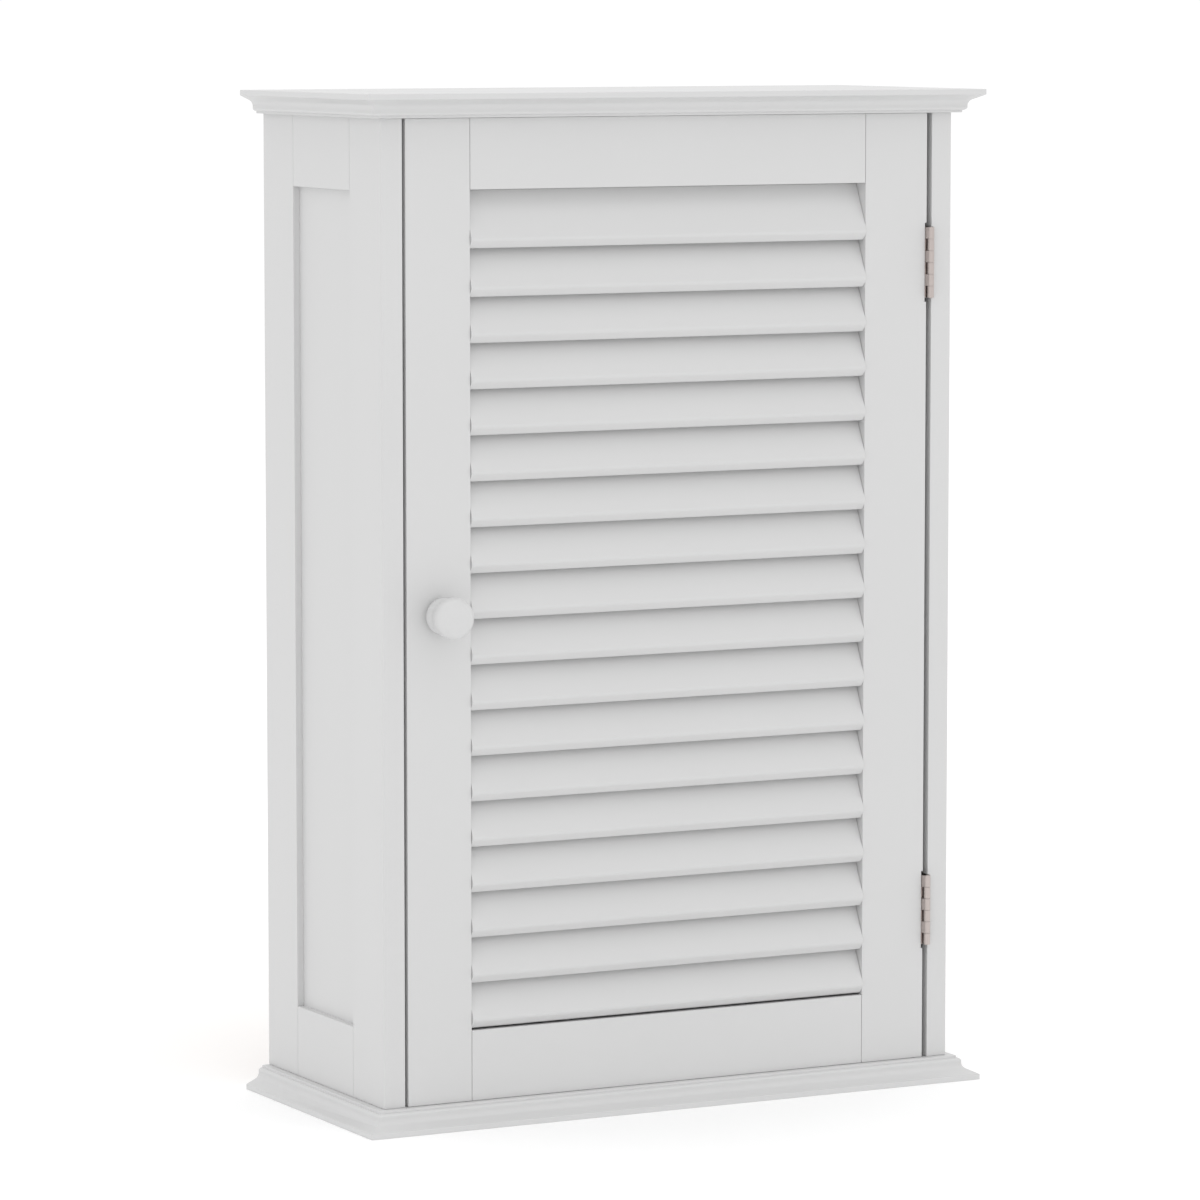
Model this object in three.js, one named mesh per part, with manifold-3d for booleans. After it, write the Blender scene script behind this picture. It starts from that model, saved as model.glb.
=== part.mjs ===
import * as THREE from 'three';
import { mergeVertices } from 'three/addons/utils/BufferGeometryUtils.js';
import Module from 'manifold-3d';

// A wall cabinet with one louvred door on two butt hinges, in painted board.
// Lengths are millimetres. X runs to the right, Y to the back and Z up. The origin lies
// under the middle of the whole cabinet, on the surface that it stands on. Inside the
// cabinet group, Y is zero at the front of the sides and Z is zero on top of the base board.

// Carcass
const carcassWidth = 378.4;
const carcassDepth = 162;
const carcassHeight = 572;
const postRadius = 1.2;

// Framed sides
const sideThickness = 13.6;
const sideStileWidth = 42;
const sideRailWidth = 42;
const panelRecess = 4.1;
const panelThickness = 4;
const panelPlay = 0.5;
const grooveDepth = 7;

// Moulded top and base boards
const boardThickness = 14;
const boardOverhang = 15.1;
const boardArris = 0.6;
const lipOverhang = 4.6;
const lipHeight = 1.4;
const beadOverhang = 6.9;
const beadHeight = 1.8;
const listelHeight = 1;
const hollowRadius = 4.2;
const hollowTurn = THREE.MathUtils.degToRad(60);
const filletHeight = 3.2;

// Back
const backPanelThickness = 3;
const backLap = 6;
const hangingRailHeight = 50;
const hangingRailThickness = 12;

// Keyhole hangers, let into the hanging rail
const hangerInset = 31.6;
const hangerWidth = 16;
const hangerHeight = 34;
const hangerThickness = 1.2;
const hangerCornerRadius = 3;
const keyholeRadius = 4.4;
const keyholeSlotRadius = 2.2;
const keyholeSlotLength = 9;
const hangerHoleInset = 4.5;
const hangerPocketDepth = 7;
const hangerPocketMargin = 2;

// Shelf on four pins, with rows of spare holes
const shelfLevel = 262;
const shelfThickness = 12;
const shelfSetback = 4;
const shelfSideGap = 0.4;
const shelfBackGap = 1;
const shelfHoleSpacing = 32;
const spareHolesEachWay = 2;
const frontPinInset = 30;
const backPinInset = 20;
const pinHoleRadius = 2.5;
const pinHoleDepth = 8;
const pinShankLength = 7.6;
const pinCollarRadius = 3.6;
const pinCollarThickness = 1;
const pinHeadRadius = 2.8;
const pinHeadLength = 6.5;

// Door frame
const doorThickness = 18;
const latchStileWidth = 41.1;
const hingeStileWidth = 42.3;
const doorTopRailWidth = 41.1;
const doorBottomRailWidth = 41.5;
const doorLatchGap = 2;
const doorEndGap = 0.2;
const railTenonLength = 14;
const railTenonThickness = 6;
const railTenonShoulder = 8;

// Louvre slats
const slatTilt = THREE.MathUtils.degToRad(24.9);
const slatPitch = 26.6;
const topSpacingExtraShare = 0.05;
const slatThickness = 6.8;
const slatNoseProud = 2.2;
const slatBackSetback = 0.75;
const slatBevelDrop = 3;
const slatNoseRadius = 2.5;
const slatHeelRadius = 1;
const slatTopRadius = 0.5;
const slatEndGap = 0.2;
const slatTopGap = 0.4;
const louvreBottomGap = 0.32;
const slatTenonLength = 6;
const slatTenonThickness = 4;
const slatTenonCover = 3.5;
const slatTenonSetback = 1.5;

// Butt hinges
const hingeHeight = 42.1;
const upperHingeDrop = 89.4;
const lowerHingeRise = 90.6;
const barrelRadius = 2;
const barrelStandoff = 0.2;
const knuckleCount = 6;
const knuckleGap = 0.15;
const hingePinRadius = 1;
const hingePinClearance = 0.1;
const hingePinEnd = 0.3;
const barrelLap = 0.3;
const leafThickness = 1.1;
const leafDepth = 15.5;
const leafClearance = 0.3;
const doorMortiseSlack = 2.6;
const leafScrewInset = 9;

// Knob and its screw
const knobHeight = 286;
const knobInset = 21;
const knobProjection = 25;
const knobRadius = 12;
const knobFaceRise = 1.3;
const knobEdgeRadius = 4.2;
const knobHeadBack = 17.5;
const knobNeckRadius = 9.8;
const knobNeck = 9.5;
const knobShoulderRadius = 10.6;
const knobShoulder = 5;
const knobFootRadius = 7.8;
const knobFoot = 1.6;
const knobScrewRadius = 1.8;
const knobScrewClearance = 0.3;
const knobBoreDepth = 12;
const knobScrewReach = 10;
const knobScrewHeadRadius = 4.2;
const knobScrewHeadHeight = 2.4;

// Magnetic catch under the top board, and its strike on the door
const catchLength = 32;
const catchHeight = 13;
const catchDepth = 14;
const catchWallGap = 2;
const catchEarLength = 8;
const catchEarThickness = 2.5;
const magnetLength = 24;
const magnetHeight = 8;
const magnetDepth = 9;
const polePlateThickness = 1.6;
const poleProud = 0.8;
const catchGap = 0.3;
const strikeThickness = 1.2;
const strikeLength = 32;
const strikeHeight = 9.5;
const strikeCornerRadius = 2;

// Countersunk screws, the same in the hinges, hangers, catch and strike
const screwRadius = 1.45;
const screwHeadRadius = 2.8;
const screwHeadHeight = 1.1;
const screwLength = 10;
const screwTipLength = 2.5;
const screwPlay = 0.15;

// Clearances and cuts
const seatGap = 0.1;
const jointGap = 0.15;
const tongueFit = 0.15;
const mortiseFit = 0.3;
const overrun = 2;

// Facets
const arcSteps = 4;
const hollowSteps = 6;
const holeSteps = 16;
const barrelSteps = 20;
const knobSteps = 36;

// Sizes that follow from those above
const halfWidth = carcassWidth / 2;
const insideHalf = halfWidth - sideThickness;
const hingeGap = 2 * (barrelRadius - barrelLap);
const doorWidth = 2 * insideHalf - doorLatchGap - hingeGap;
const doorHeight = carcassHeight - 2 * doorEndGap;
const louvreSpan = [latchStileWidth, doorWidth - hingeStileWidth];
const topRailSpan = [doorHeight - doorTopRailWidth, doorHeight];
const bottomRailSpan = [0, doorBottomRailWidth];
const slatWidth =
  (doorThickness + slatNoseProud - slatBackSetback - slatThickness * Math.cos(slatTilt)) /
  Math.sin(slatTilt);
const catchCentreX = catchWallGap - insideHalf + catchLength / 2 + catchEarLength;
const hingeBoreRadius = hingePinRadius + hingePinClearance;
const hangerLevel = carcassHeight - hangingRailHeight / 2;
const hangerReach = insideHalf - hangerInset;

// Materials

function satinPaint() {
  return new THREE.MeshStandardMaterial({ color: 0xe4e4e2, roughness: 0.45, metalness: 0 });
}

function nickelPlate() {
  return new THREE.MeshStandardMaterial({ color: 0xcabfbd, roughness: 0.35, metalness: 1 });
}

function zincPlate() {
  return new THREE.MeshStandardMaterial({ color: 0xb4b8bc, roughness: 0.4, metalness: 1 });
}

function mouldedPlastic() {
  return new THREE.MeshStandardMaterial({ color: 0xe9e8e4, roughness: 0.5, metalness: 0 });
}

function ferrite() {
  return new THREE.MeshStandardMaterial({ color: 0x3a3a3c, roughness: 0.7, metalness: 0.2 });
}

// Solids

const wasm = await Module();
wasm.setup();

const alongX = new THREE.Vector3(1, 0, 0);
const alongY = new THREE.Vector3(0, 1, 0);
const alongZ = new THREE.Vector3(0, 0, 1);

// Turns an outline that was extruded along Z to the axis that is named.
const extrudeTurn = {
  x: new THREE.Matrix4().makeBasis(alongY, alongZ, alongX),
  y: new THREE.Matrix4().makeBasis(alongZ, alongX, alongY),
  z: new THREE.Matrix4(),
};

// Turns a lathed shape from the Y axis to the axis that is named.
const latheTurn = {
  x: new THREE.Matrix4().makeBasis(alongZ, alongX, alongY),
  y: new THREE.Matrix4(),
  z: new THREE.Matrix4().makeBasis(alongY, alongZ, alongX),
};

function solid(geometry) {
  geometry.deleteAttribute('normal');
  geometry.deleteAttribute('uv');
  const merged = mergeVertices(geometry);
  const index = merged.index.array;
  const triVerts = [];
  for (let i = 0; i < index.length; i += 3) {
    const [a, b, c] = index.slice(i, i + 3);
    if (a !== b && b !== c && c !== a) {
      triVerts.push(a, b, c);
    }
  }
  const vertProperties = merged.attributes.position.array;
  const mesh = new wasm.Mesh({ numProp: 3, vertProperties, triVerts: new Uint32Array(triVerts) });
  return new wasm.Manifold(mesh);
}

function block([x0, x1], [y0, y1], [z0, z1]) {
  const geometry = new THREE.BoxGeometry(x1 - x0, y1 - y0, z1 - z0);
  geometry.translate((x0 + x1) / 2, (y0 + y1) / 2, (z0 + z1) / 2);
  return solid(geometry);
}

// An outline holds the two coordinates that are left, in the order X, Y, Z.
function prism(outline, axis, [from, to]) {
  const place = ([a, b]) => (axis === 'y' ? new THREE.Vector2(b, a) : new THREE.Vector2(a, b));
  const shape = new THREE.Shape(outline.map(place));
  const geometry = new THREE.ExtrudeGeometry(shape, { depth: to - from, bevelEnabled: false });
  geometry.translate(0, 0, from);
  geometry.applyMatrix4(extrudeTurn[axis]);
  return solid(geometry);
}

// A profile is a list of [radius, distance along the axis], with the distance growing.
function turned(profile, axis, centre, steps) {
  const points = profile.map(([radius, along]) => new THREE.Vector2(radius, along));
  const geometry = new THREE.LatheGeometry(points, steps);
  geometry.applyMatrix4(latheTurn[axis]);
  geometry.translate(...centre);
  return solid(geometry);
}

function rod(axis, centre, [from, to], radius, steps = holeSteps) {
  return turned([[0, from], [radius, from], [radius, to], [0, to]], axis, centre, steps);
}

// The distances of the profile run towards +1 or -1 along the axis, from the centre.
function turnedTowards(profile, axis, direction, centre) {
  const points = profile.map(([radius, along]) => [radius, direction * along]);
  return turned(direction > 0 ? points : points.toReversed(), axis, centre, holeSteps);
}

function mesh(name, shape, material) {
  const { vertProperties, triVerts } = shape.getMesh();
  const geometry = new THREE.BufferGeometry();
  geometry.setAttribute('position', new THREE.BufferAttribute(vertProperties, 3));
  geometry.setIndex(new THREE.BufferAttribute(triVerts, 1));
  geometry.computeVertexNormals();
  const piece = new THREE.Mesh(geometry, material);
  piece.name = name;
  return piece;
}

// Outlines

// Corners are [a, b, radius]; a corner with a radius becomes an arc.
function rounded(corners) {
  const points = [];
  corners.forEach(([a, b, radius = 0], i) => {
    if (radius === 0) {
      points.push([a, b]);
      return;
    }
    const corner = new THREE.Vector2(a, b);
    const previous = new THREE.Vector2().fromArray(corners.at(i - 1));
    const next = new THREE.Vector2().fromArray(corners[(i + 1) % corners.length]);
    const before = previous.sub(corner).normalize();
    const after = next.sub(corner).normalize();
    const half = Math.acos(before.dot(after)) / 2;
    const centre = before.clone().add(after).normalize().multiplyScalar(radius / Math.sin(half));
    const start = before.clone().multiplyScalar(radius / Math.tan(half)).sub(centre);
    const end = after.clone().multiplyScalar(radius / Math.tan(half)).sub(centre);
    const sweep = Math.atan2(start.cross(end), start.dot(end));
    for (let step = 0; step <= arcSteps; step += 1) {
      const spoke = start.clone().rotateAround(new THREE.Vector2(), (sweep * step) / arcSteps);
      points.push(spoke.add(centre).add(corner).toArray());
    }
  });
  return points;
}

function widened([from, to], margin) {
  return [from - margin, to + margin];
}

function rectangle([a0, a1], [b0, b1], radius = 0) {
  return rounded([[a0, b0, radius], [a1, b0, radius], [a1, b1, radius], [a0, b1, radius]]);
}

// A round quarter that starts square to the wall and ends level with it.
function quarterBead([overhang0, height0], [overhang1, height1]) {
  const points = [];
  for (let step = 0; step <= hollowSteps; step += 1) {
    const angle = (Math.PI / 2) * (step / hollowSteps);
    const overhang = overhang0 + (overhang1 - overhang0) * Math.sin(angle);
    points.push([overhang, height1 - (height1 - height0) * Math.cos(angle)]);
  }
  return points;
}

// A hollow arc that starts level with the wall and turns away from it.
function hollowArc([overhang, height], radius, turn) {
  const points = [];
  for (let step = 0; step <= hollowSteps; step += 1) {
    const angle = turn * (step / hollowSteps);
    const out = radius * (1 - Math.cos(angle));
    points.push([overhang + out, height + radius * Math.sin(angle)]);
  }
  return points;
}

// Screws. A place is the middle of a screw's flat head, and the screw runs away from it
// towards +1 or -1 along its axis.

function screwProfile(play) {
  return [
    [screwHeadRadius + play, 0],
    [screwRadius + play, screwHeadHeight],
    [screwRadius + play, screwLength - screwTipLength + play],
    [0, screwLength + play],
  ];
}

function screw(place, axis, direction) {
  return turnedTowards([[0, 0], ...screwProfile(0)], axis, direction, place);
}

function cutScrewHoles(piece, places, axis, direction) {
  const mouth = [[0, -overrun], [screwHeadRadius + screwPlay, -overrun]];
  const profile = [...mouth, ...screwProfile(screwPlay)];
  const holes = places.map((place) => turnedTowards(profile, axis, direction, place));
  return holes.reduce((cut, hole) => cut.subtract(hole), piece);
}

function shifted(places, [dx, dy, dz]) {
  return places.map(([x, y, z]) => [x + dx, y + dy, z + dz]);
}

// Moulded boards

// Points of [overhang past the carcass, height from it], from the carcass outwards: a lip, a
// bead, a short upright, a hollow that runs out in a slope, and an upright fillet.
function mouldingEdge() {
  const listelStart = lipHeight + beadHeight;
  return [
    [lipOverhang, 0],
    ...quarterBead([lipOverhang, lipHeight], [beadOverhang, listelStart]),
    ...hollowArc([beadOverhang, listelStart + listelHeight], hollowRadius, hollowTurn),
    [boardOverhang, boardThickness - filletHeight],
    [boardOverhang, boardThickness, boardArris],
  ];
}

// The moulding runs along the front and both ends, mitred at the two front corners.
function mouldedBoard(level, direction) {
  const edge = mouldingEdge();
  const height = (h) => level + direction * h;
  const frontOutline = rounded([
    ...edge.map(([o, h, r]) => [-o, height(h), r]),
    [carcassDepth + overrun, height(boardThickness)],
    [carcassDepth + overrun, height(0)],
  ]);
  const endOutline = rounded([
    ...edge.map(([o, h, r]) => [-halfWidth - o, height(h), r]),
    ...edge.toReversed().map(([o, h, r]) => [halfWidth + o, height(h), r]),
  ]);
  const reach = halfWidth + boardOverhang + overrun;
  const front = prism(frontOutline, 'x', [-reach, reach]);
  const ends = prism(endOutline, 'y', [-boardOverhang - overrun, carcassDepth]);
  return front.intersect(ends);
}

// Framed sides. The hand is -1 for the left side and 1 for the right side, and an
// offset is measured inwards from the outside of the side.

const stileSpan = [seatGap, carcassHeight - seatGap];
const grooveOffsets = [panelRecess - tongueFit, panelRecess + panelThickness + tongueFit];
const panelOffsets = [panelRecess, panelRecess + panelThickness];

function span(hand, offsets) {
  return offsets.map((offset) => hand * (halfWidth - offset)).sort((a, b) => a - b);
}

function cutPinHoles(stile, hand, y) {
  let drilled = stile;
  const inside = hand * insideHalf;
  const depth = [inside - hand * overrun, inside + hand * pinHoleDepth].sort((a, b) => a - b);
  for (let step = -spareHolesEachWay; step <= spareHolesEachWay; step += 1) {
    const z = shelfLevel - seatGap - pinHeadRadius + step * shelfHoleSpacing;
    drilled = drilled.subtract(rod('x', [0, y, z], depth, pinHoleRadius));
  }
  return drilled;
}

function frontStile(hand) {
  const groove = sideStileWidth - grooveDepth;
  const corners = [
    [0, 0, postRadius],
    [sideThickness, 0],
    [sideThickness, sideStileWidth],
    [grooveOffsets[1], sideStileWidth],
    [grooveOffsets[1], groove],
    [grooveOffsets[0], groove],
    [grooveOffsets[0], sideStileWidth],
    [0, sideStileWidth],
  ];
  const outline = rounded(corners.map(([offset, y, r]) => [hand * (halfWidth - offset), y, r]));
  return cutPinHoles(prism(outline, 'z', stileSpan), hand, frontPinInset);
}

function hingedFrontStile() {
  let stile = cutScrewHoles(frontStile(1), hingeScrewPlaces(1), 'x', 1);
  for (const level of hingeLevels()) {
    const reach = hingeHeight / 2 + leafClearance;
    stile = stile.subtract(
      block(
        [insideHalf - overrun, insideHalf + leafThickness + seatGap],
        [-overrun, leafDepth + leafClearance],
        [level - reach, level + reach],
      ),
    );
  }
  return stile;
}

function backStile(hand) {
  const front = carcassDepth - sideStileWidth;
  const groove = front + grooveDepth;
  const rebate = carcassDepth - backPanelThickness - tongueFit;
  const outline = [
    [0, carcassDepth],
    [0, front],
    [grooveOffsets[0], front],
    [grooveOffsets[0], groove],
    [grooveOffsets[1], groove],
    [grooveOffsets[1], front],
    [sideThickness, front],
    [sideThickness, rebate],
    [sideThickness - backLap, rebate],
    [sideThickness - backLap, carcassDepth],
  ].map(([offset, y]) => [hand * (halfWidth - offset), y]);
  return cutPinHoles(prism(outline, 'z', stileSpan), hand, carcassDepth - backPinInset);
}

// The outer edge meets a moulded board, and the inner edge holds the panel.
function sideRail(hand, outerEdge, innerEdge) {
  const groove = innerEdge + Math.sign(outerEdge - innerEdge) * grooveDepth;
  const outline = [
    [0, outerEdge],
    [sideThickness, outerEdge],
    [sideThickness, innerEdge],
    [grooveOffsets[1], innerEdge],
    [grooveOffsets[1], groove],
    [grooveOffsets[0], groove],
    [grooveOffsets[0], innerEdge],
    [0, innerEdge],
  ].map(([offset, z]) => [hand * (halfWidth - offset), z]);
  const shoulder = sideStileWidth + jointGap;
  const tongue = sideStileWidth - grooveDepth + jointGap;
  const body = prism(outline, 'y', [shoulder, carcassDepth - shoulder]);
  const tongues = block(
    span(hand, panelOffsets),
    [tongue, carcassDepth - tongue],
    [outerEdge, groove].sort((a, b) => a - b),
  );
  return body.add(tongues);
}

function sidePanel(hand) {
  const edge = sideStileWidth - grooveDepth + panelPlay;
  const end = sideRailWidth - grooveDepth + panelPlay;
  return block(span(hand, panelOffsets), [edge, carcassDepth - edge], [end, carcassHeight - end]);
}

function addSide(cabinet, side, hand) {
  const front = hand > 0 ? hingedFrontStile() : frontStile(hand);
  const top = carcassHeight - seatGap;
  cabinet.add(
    mesh(`${side}_front_stile`, front, satinPaint()),
    mesh(`${side}_back_stile`, backStile(hand), satinPaint()),
    mesh(`${side}_top_rail`, sideRail(hand, top, carcassHeight - sideRailWidth), satinPaint()),
    mesh(`${side}_bottom_rail`, sideRail(hand, seatGap, sideRailWidth), satinPaint()),
    mesh(`${side}_panel`, sidePanel(hand), satinPaint()),
  );
}

// Back

function backPanel() {
  const reach = insideHalf + backLap - tongueFit;
  const top = carcassHeight - hangingRailHeight + backLap - tongueFit;
  return block([-reach, reach], [carcassDepth - backPanelThickness, carcassDepth], [seatGap, top]);
}

// The rail fills the sides' rebates at its ends and laps over the back panel below.
function hangingRail() {
  const reach = insideHalf - jointGap;
  const lapReach = insideHalf + backLap - tongueFit;
  const bottom = carcassHeight - hangingRailHeight;
  const rebate = carcassDepth - backPanelThickness - tongueFit;
  const tall = [bottom, carcassHeight - seatGap];
  let rail = block([-reach, reach], [carcassDepth - hangingRailThickness, carcassDepth], tall);
  rail = rail.add(
    block([-lapReach, lapReach], [carcassDepth - backPanelThickness, carcassDepth], tall),
  );
  rail = rail.subtract(
    block([-halfWidth, halfWidth], [rebate, carcassDepth + overrun], [bottom - overrun, bottom + backLap]),
  );
  for (const x of [-hangerReach, hangerReach]) {
    rail = rail.subtract(hangerRecess(x)).subtract(hangerPocket(x));
  }
  return cutScrewHoles(rail, hangerScrewPlaces(), 'y', -1);
}

// Two screws to a hanger, about the middle of the hanger's back.
function plateScrewPlaces() {
  const level = hangerHeight / 2 - hangerHoleInset;
  return [[0, 0, -level], [0, 0, level]];
}

function hangerScrewPlaces() {
  return [-hangerReach, hangerReach].flatMap((x) =>
    shifted(plateScrewPlaces(), [x, carcassDepth, hangerLevel]),
  );
}

function hangerRecess(x) {
  const halfSpanX = hangerWidth / 2 + mortiseFit;
  const halfSpanZ = hangerHeight / 2 + mortiseFit;
  const outline = rectangle(
    [x - halfSpanX, x + halfSpanX],
    [hangerLevel - halfSpanZ, hangerLevel + halfSpanZ],
    hangerCornerRadius + mortiseFit,
  );
  const floor = carcassDepth - hangerThickness - seatGap;
  return prism(outline, 'y', [floor, carcassDepth + overrun]);
}

// Room behind the keyhole for the head of the wall screw.
function hangerPocket(x) {
  const reach = keyholeRadius + hangerPocketMargin;
  const half = keyholeSlotLength / 2;
  return block(
    [x - reach, x + reach],
    [carcassDepth - hangerPocketDepth, carcassDepth + overrun],
    [hangerLevel - half - keyholeRadius, hangerLevel + half + keyholeSlotRadius + hangerPocketMargin],
  );
}

// A wide hole with a narrow slot above it, as [x, z] about the middle of the slot.
function keyhole() {
  const low = -keyholeSlotLength / 2;
  const high = keyholeSlotLength / 2;
  const mouth = Math.asin(keyholeSlotRadius / keyholeRadius);
  const points = [];
  for (let step = 0; step <= holeSteps; step += 1) {
    const angle = Math.PI / 2 + mouth + ((2 * Math.PI - 2 * mouth) * step) / holeSteps;
    points.push([keyholeRadius * Math.cos(angle), low + keyholeRadius * Math.sin(angle)]);
  }
  for (let step = 0; step <= arcSteps * 2; step += 1) {
    const angle = (Math.PI * step) / (arcSteps * 2);
    points.push([keyholeSlotRadius * Math.cos(angle), high + keyholeSlotRadius * Math.sin(angle)]);
  }
  return points;
}

function hanger() {
  const outline = rectangle(
    [-hangerWidth / 2, hangerWidth / 2],
    [-hangerHeight / 2, hangerHeight / 2],
    hangerCornerRadius,
  );
  const through = [-hangerThickness - overrun, overrun];
  const plate = prism(outline, 'y', [-hangerThickness, 0]).subtract(prism(keyhole(), 'y', through));
  return cutScrewHoles(plate, plateScrewPlaces(), 'y', -1);
}

function addBack(cabinet) {
  cabinet.add(
    mesh('back_panel', backPanel(), satinPaint()),
    mesh('hanging_rail', hangingRail(), satinPaint()),
  );
  for (const [side, hand] of [['left', -1], ['right', 1]]) {
    const plate = mesh(`${side}_keyhole_hanger`, hanger(), zincPlate());
    plate.position.set(hand * hangerReach, carcassDepth, hangerLevel);
    cabinet.add(plate);
  }
}

// Shelf

function shelf() {
  const reach = insideHalf - seatGap - pinCollarThickness - shelfSideGap;
  const depth = [doorThickness + shelfSetback, carcassDepth - backPanelThickness - shelfBackGap];
  return block([-reach, reach], depth, [shelfLevel, shelfLevel + shelfThickness]);
}

// The shank enters the side towards -X and the shelf rests on the head.
function shelfPin() {
  const shankRadius = pinHoleRadius - tongueFit;
  const collarEnd = seatGap + pinCollarThickness;
  const profile = [
    [0, seatGap - pinShankLength],
    [shankRadius, seatGap - pinShankLength],
    [shankRadius, seatGap],
    [pinCollarRadius, seatGap],
    [pinCollarRadius, collarEnd],
    [pinHeadRadius, collarEnd],
    [pinHeadRadius, collarEnd + pinHeadLength],
    [0, collarEnd + pinHeadLength],
  ];
  return turned(profile, 'x', [0, 0, 0], holeSteps);
}

function addShelf(cabinet) {
  cabinet.add(mesh('shelf', shelf(), satinPaint()));
  const rows = [['front', frontPinInset], ['back', carcassDepth - backPinInset]];
  for (const [side, hand] of [['left', -1], ['right', 1]]) {
    for (const [row, y] of rows) {
      const pin = mesh(`shelf_pin_${side}_${row}`, shelfPin(), zincPlate());
      pin.position.set(hand * insideHalf, y, shelfLevel - seatGap - pinHeadRadius);
      pin.rotation.z = hand > 0 ? Math.PI : 0;
      cabinet.add(pin);
    }
  }
}

// Magnetic catch

const poleFront = doorThickness + seatGap + strikeThickness + catchGap;
const catchFront = poleFront + poleProud;
const catchTop = carcassHeight - seatGap;
const magnetLevel = catchTop - catchHeight / 2;

function catchHousing() {
  const halfLength = catchLength / 2;
  const earReach = halfLength + catchEarLength;
  const depth = [catchFront, catchFront + catchDepth];
  const cavityHalfX = magnetLength / 2 + mortiseFit;
  const cavityHalfZ = magnetHeight / 2 + mortiseFit;
  let housing = block(
    [catchCentreX - halfLength, catchCentreX + halfLength],
    depth,
    [catchTop - catchHeight, catchTop],
  );
  housing = housing.add(
    block(
      [catchCentreX - earReach, catchCentreX + earReach],
      depth,
      [catchTop - catchEarThickness, catchTop],
    ),
  );
  housing = housing.subtract(
    block(
      [catchCentreX - cavityHalfX, catchCentreX + cavityHalfX],
      [catchFront - overrun, poleFront + magnetDepth + mortiseFit],
      [magnetLevel - cavityHalfZ, magnetLevel + cavityHalfZ],
    ),
  );
  return cutScrewHoles(housing, catchScrewPlaces(), 'z', 1);
}

// One screw in the middle of each ear.
function catchScrewPlaces() {
  const reach = (catchLength + catchEarLength) / 2;
  const centre = [catchCentreX, catchFront + catchDepth / 2, catchTop - catchEarThickness];
  return shifted([[-reach, 0, 0], [reach, 0, 0]], centre);
}

// A magnet block between two steel pole plates, which reach a little further forward.
function catchMagnet() {
  const halfX = magnetLength / 2;
  const halfZ = magnetHeight / 2;
  const lengthSpan = [catchCentreX - halfX, catchCentreX + halfX];
  const back = poleFront + magnetDepth;
  const whole = block(lengthSpan, [poleFront, back], [magnetLevel - halfZ, magnetLevel + halfZ]);
  const inner = halfZ - polePlateThickness;
  return whole.subtract(
    block(
      [catchCentreX - halfX - overrun, catchCentreX + halfX + overrun],
      [poleFront - overrun, catchFront + poleProud],
      [magnetLevel - inner, magnetLevel + inner],
    ),
  );
}

function addCatch(cabinet) {
  cabinet.add(
    mesh('catch_housing', catchHousing(), mouldedPlastic()),
    mesh('catch_magnet', catchMagnet(), ferrite()),
  );
  catchScrewPlaces().forEach((place, index) => {
    const side = ['left', 'right'][index];
    cabinet.add(mesh(`catch_screw_${side}`, screw(place, 'z', 1), zincPlate()));
  });
}

// Hinges. Inside a hinge, the origin is on the pin, at mid height. A leaf lies flush in its
// mortise, so its plate stands further from the pin than the barrel does.

const plateInside = barrelRadius - barrelLap;
const plateOutside = plateInside + leafThickness;

function hingeLevels() {
  return [carcassHeight - upperHingeDrop, lowerHingeRise];
}

function hingeCentre(level) {
  return [insideHalf - hingeGap / 2, -barrelRadius - barrelStandoff, level];
}

function leafScrewPlaces(side) {
  const face = side * plateInside;
  const middle = barrelRadius + barrelStandoff + leafDepth / 2;
  const reach = hingeHeight / 2 - leafScrewInset;
  return [[face, middle, -reach], [face, middle, reach]];
}

function hingeScrewPlaces(side) {
  return hingeLevels().flatMap((level) => shifted(leafScrewPlaces(side), hingeCentre(level)));
}

function knuckles(side, firstKnuckle) {
  const pitch = hingeHeight / knuckleCount;
  const faceY = barrelRadius + barrelStandoff;
  const plateY = faceY + 2 * leafClearance;
  const web = [
    [barrelRadius, 0],
    [plateOutside, faceY],
    [plateOutside, plateY],
    [plateInside, plateY],
    [plateInside, 0],
  ].map(([x, y]) => [side * x, y]);
  let wrapped = null;
  for (let index = firstKnuckle; index < knuckleCount; index += 2) {
    const top = hingeHeight / 2 - index * pitch - knuckleGap / 2;
    const tall = [top - pitch + knuckleGap, top];
    const barrel = rod('z', [0, 0, 0], tall, barrelRadius, barrelSteps);
    const knuckle = barrel.add(prism(web, 'z', tall));
    wrapped = wrapped ? wrapped.add(knuckle) : knuckle;
  }
  return wrapped;
}

// The side is -1 for the leaf on the door and 1 for the leaf on the cabinet.
function hingeLeaf(side, firstKnuckle) {
  const faceY = barrelRadius + barrelStandoff;
  const plate = [side * plateInside, side * plateOutside];
  const halfHeight = hingeHeight / 2;
  let leaf = block(
    plate.toSorted((a, b) => a - b),
    [faceY + leafClearance, faceY + leafDepth],
    [-halfHeight, halfHeight],
  );
  leaf = leaf.add(knuckles(side, firstKnuckle));
  const bore = [-halfHeight - overrun, halfHeight + overrun];
  leaf = leaf.subtract(rod('z', [0, 0, 0], bore, hingeBoreRadius, barrelSteps));
  return cutScrewHoles(leaf, leafScrewPlaces(side), 'x', side);
}

function hingePin() {
  const reach = hingeHeight / 2 + hingePinEnd;
  return rod('z', [0, 0, 0], [-reach, reach], hingePinRadius, barrelSteps);
}

function addHinges(cabinet) {
  const names = ['upper', 'lower'];
  hingeLevels().forEach((level, index) => {
    const hinge = new THREE.Group();
    hinge.position.set(...hingeCentre(level));
    hinge.add(
      mesh(`${names[index]}_hinge_door_leaf`, hingeLeaf(-1, 0), nickelPlate()),
      mesh(`${names[index]}_hinge_frame_leaf`, hingeLeaf(1, 1), nickelPlate()),
      mesh(`${names[index]}_hinge_pin`, hingePin(), nickelPlate()),
    );
    cabinet.add(hinge);
  });
}

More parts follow.
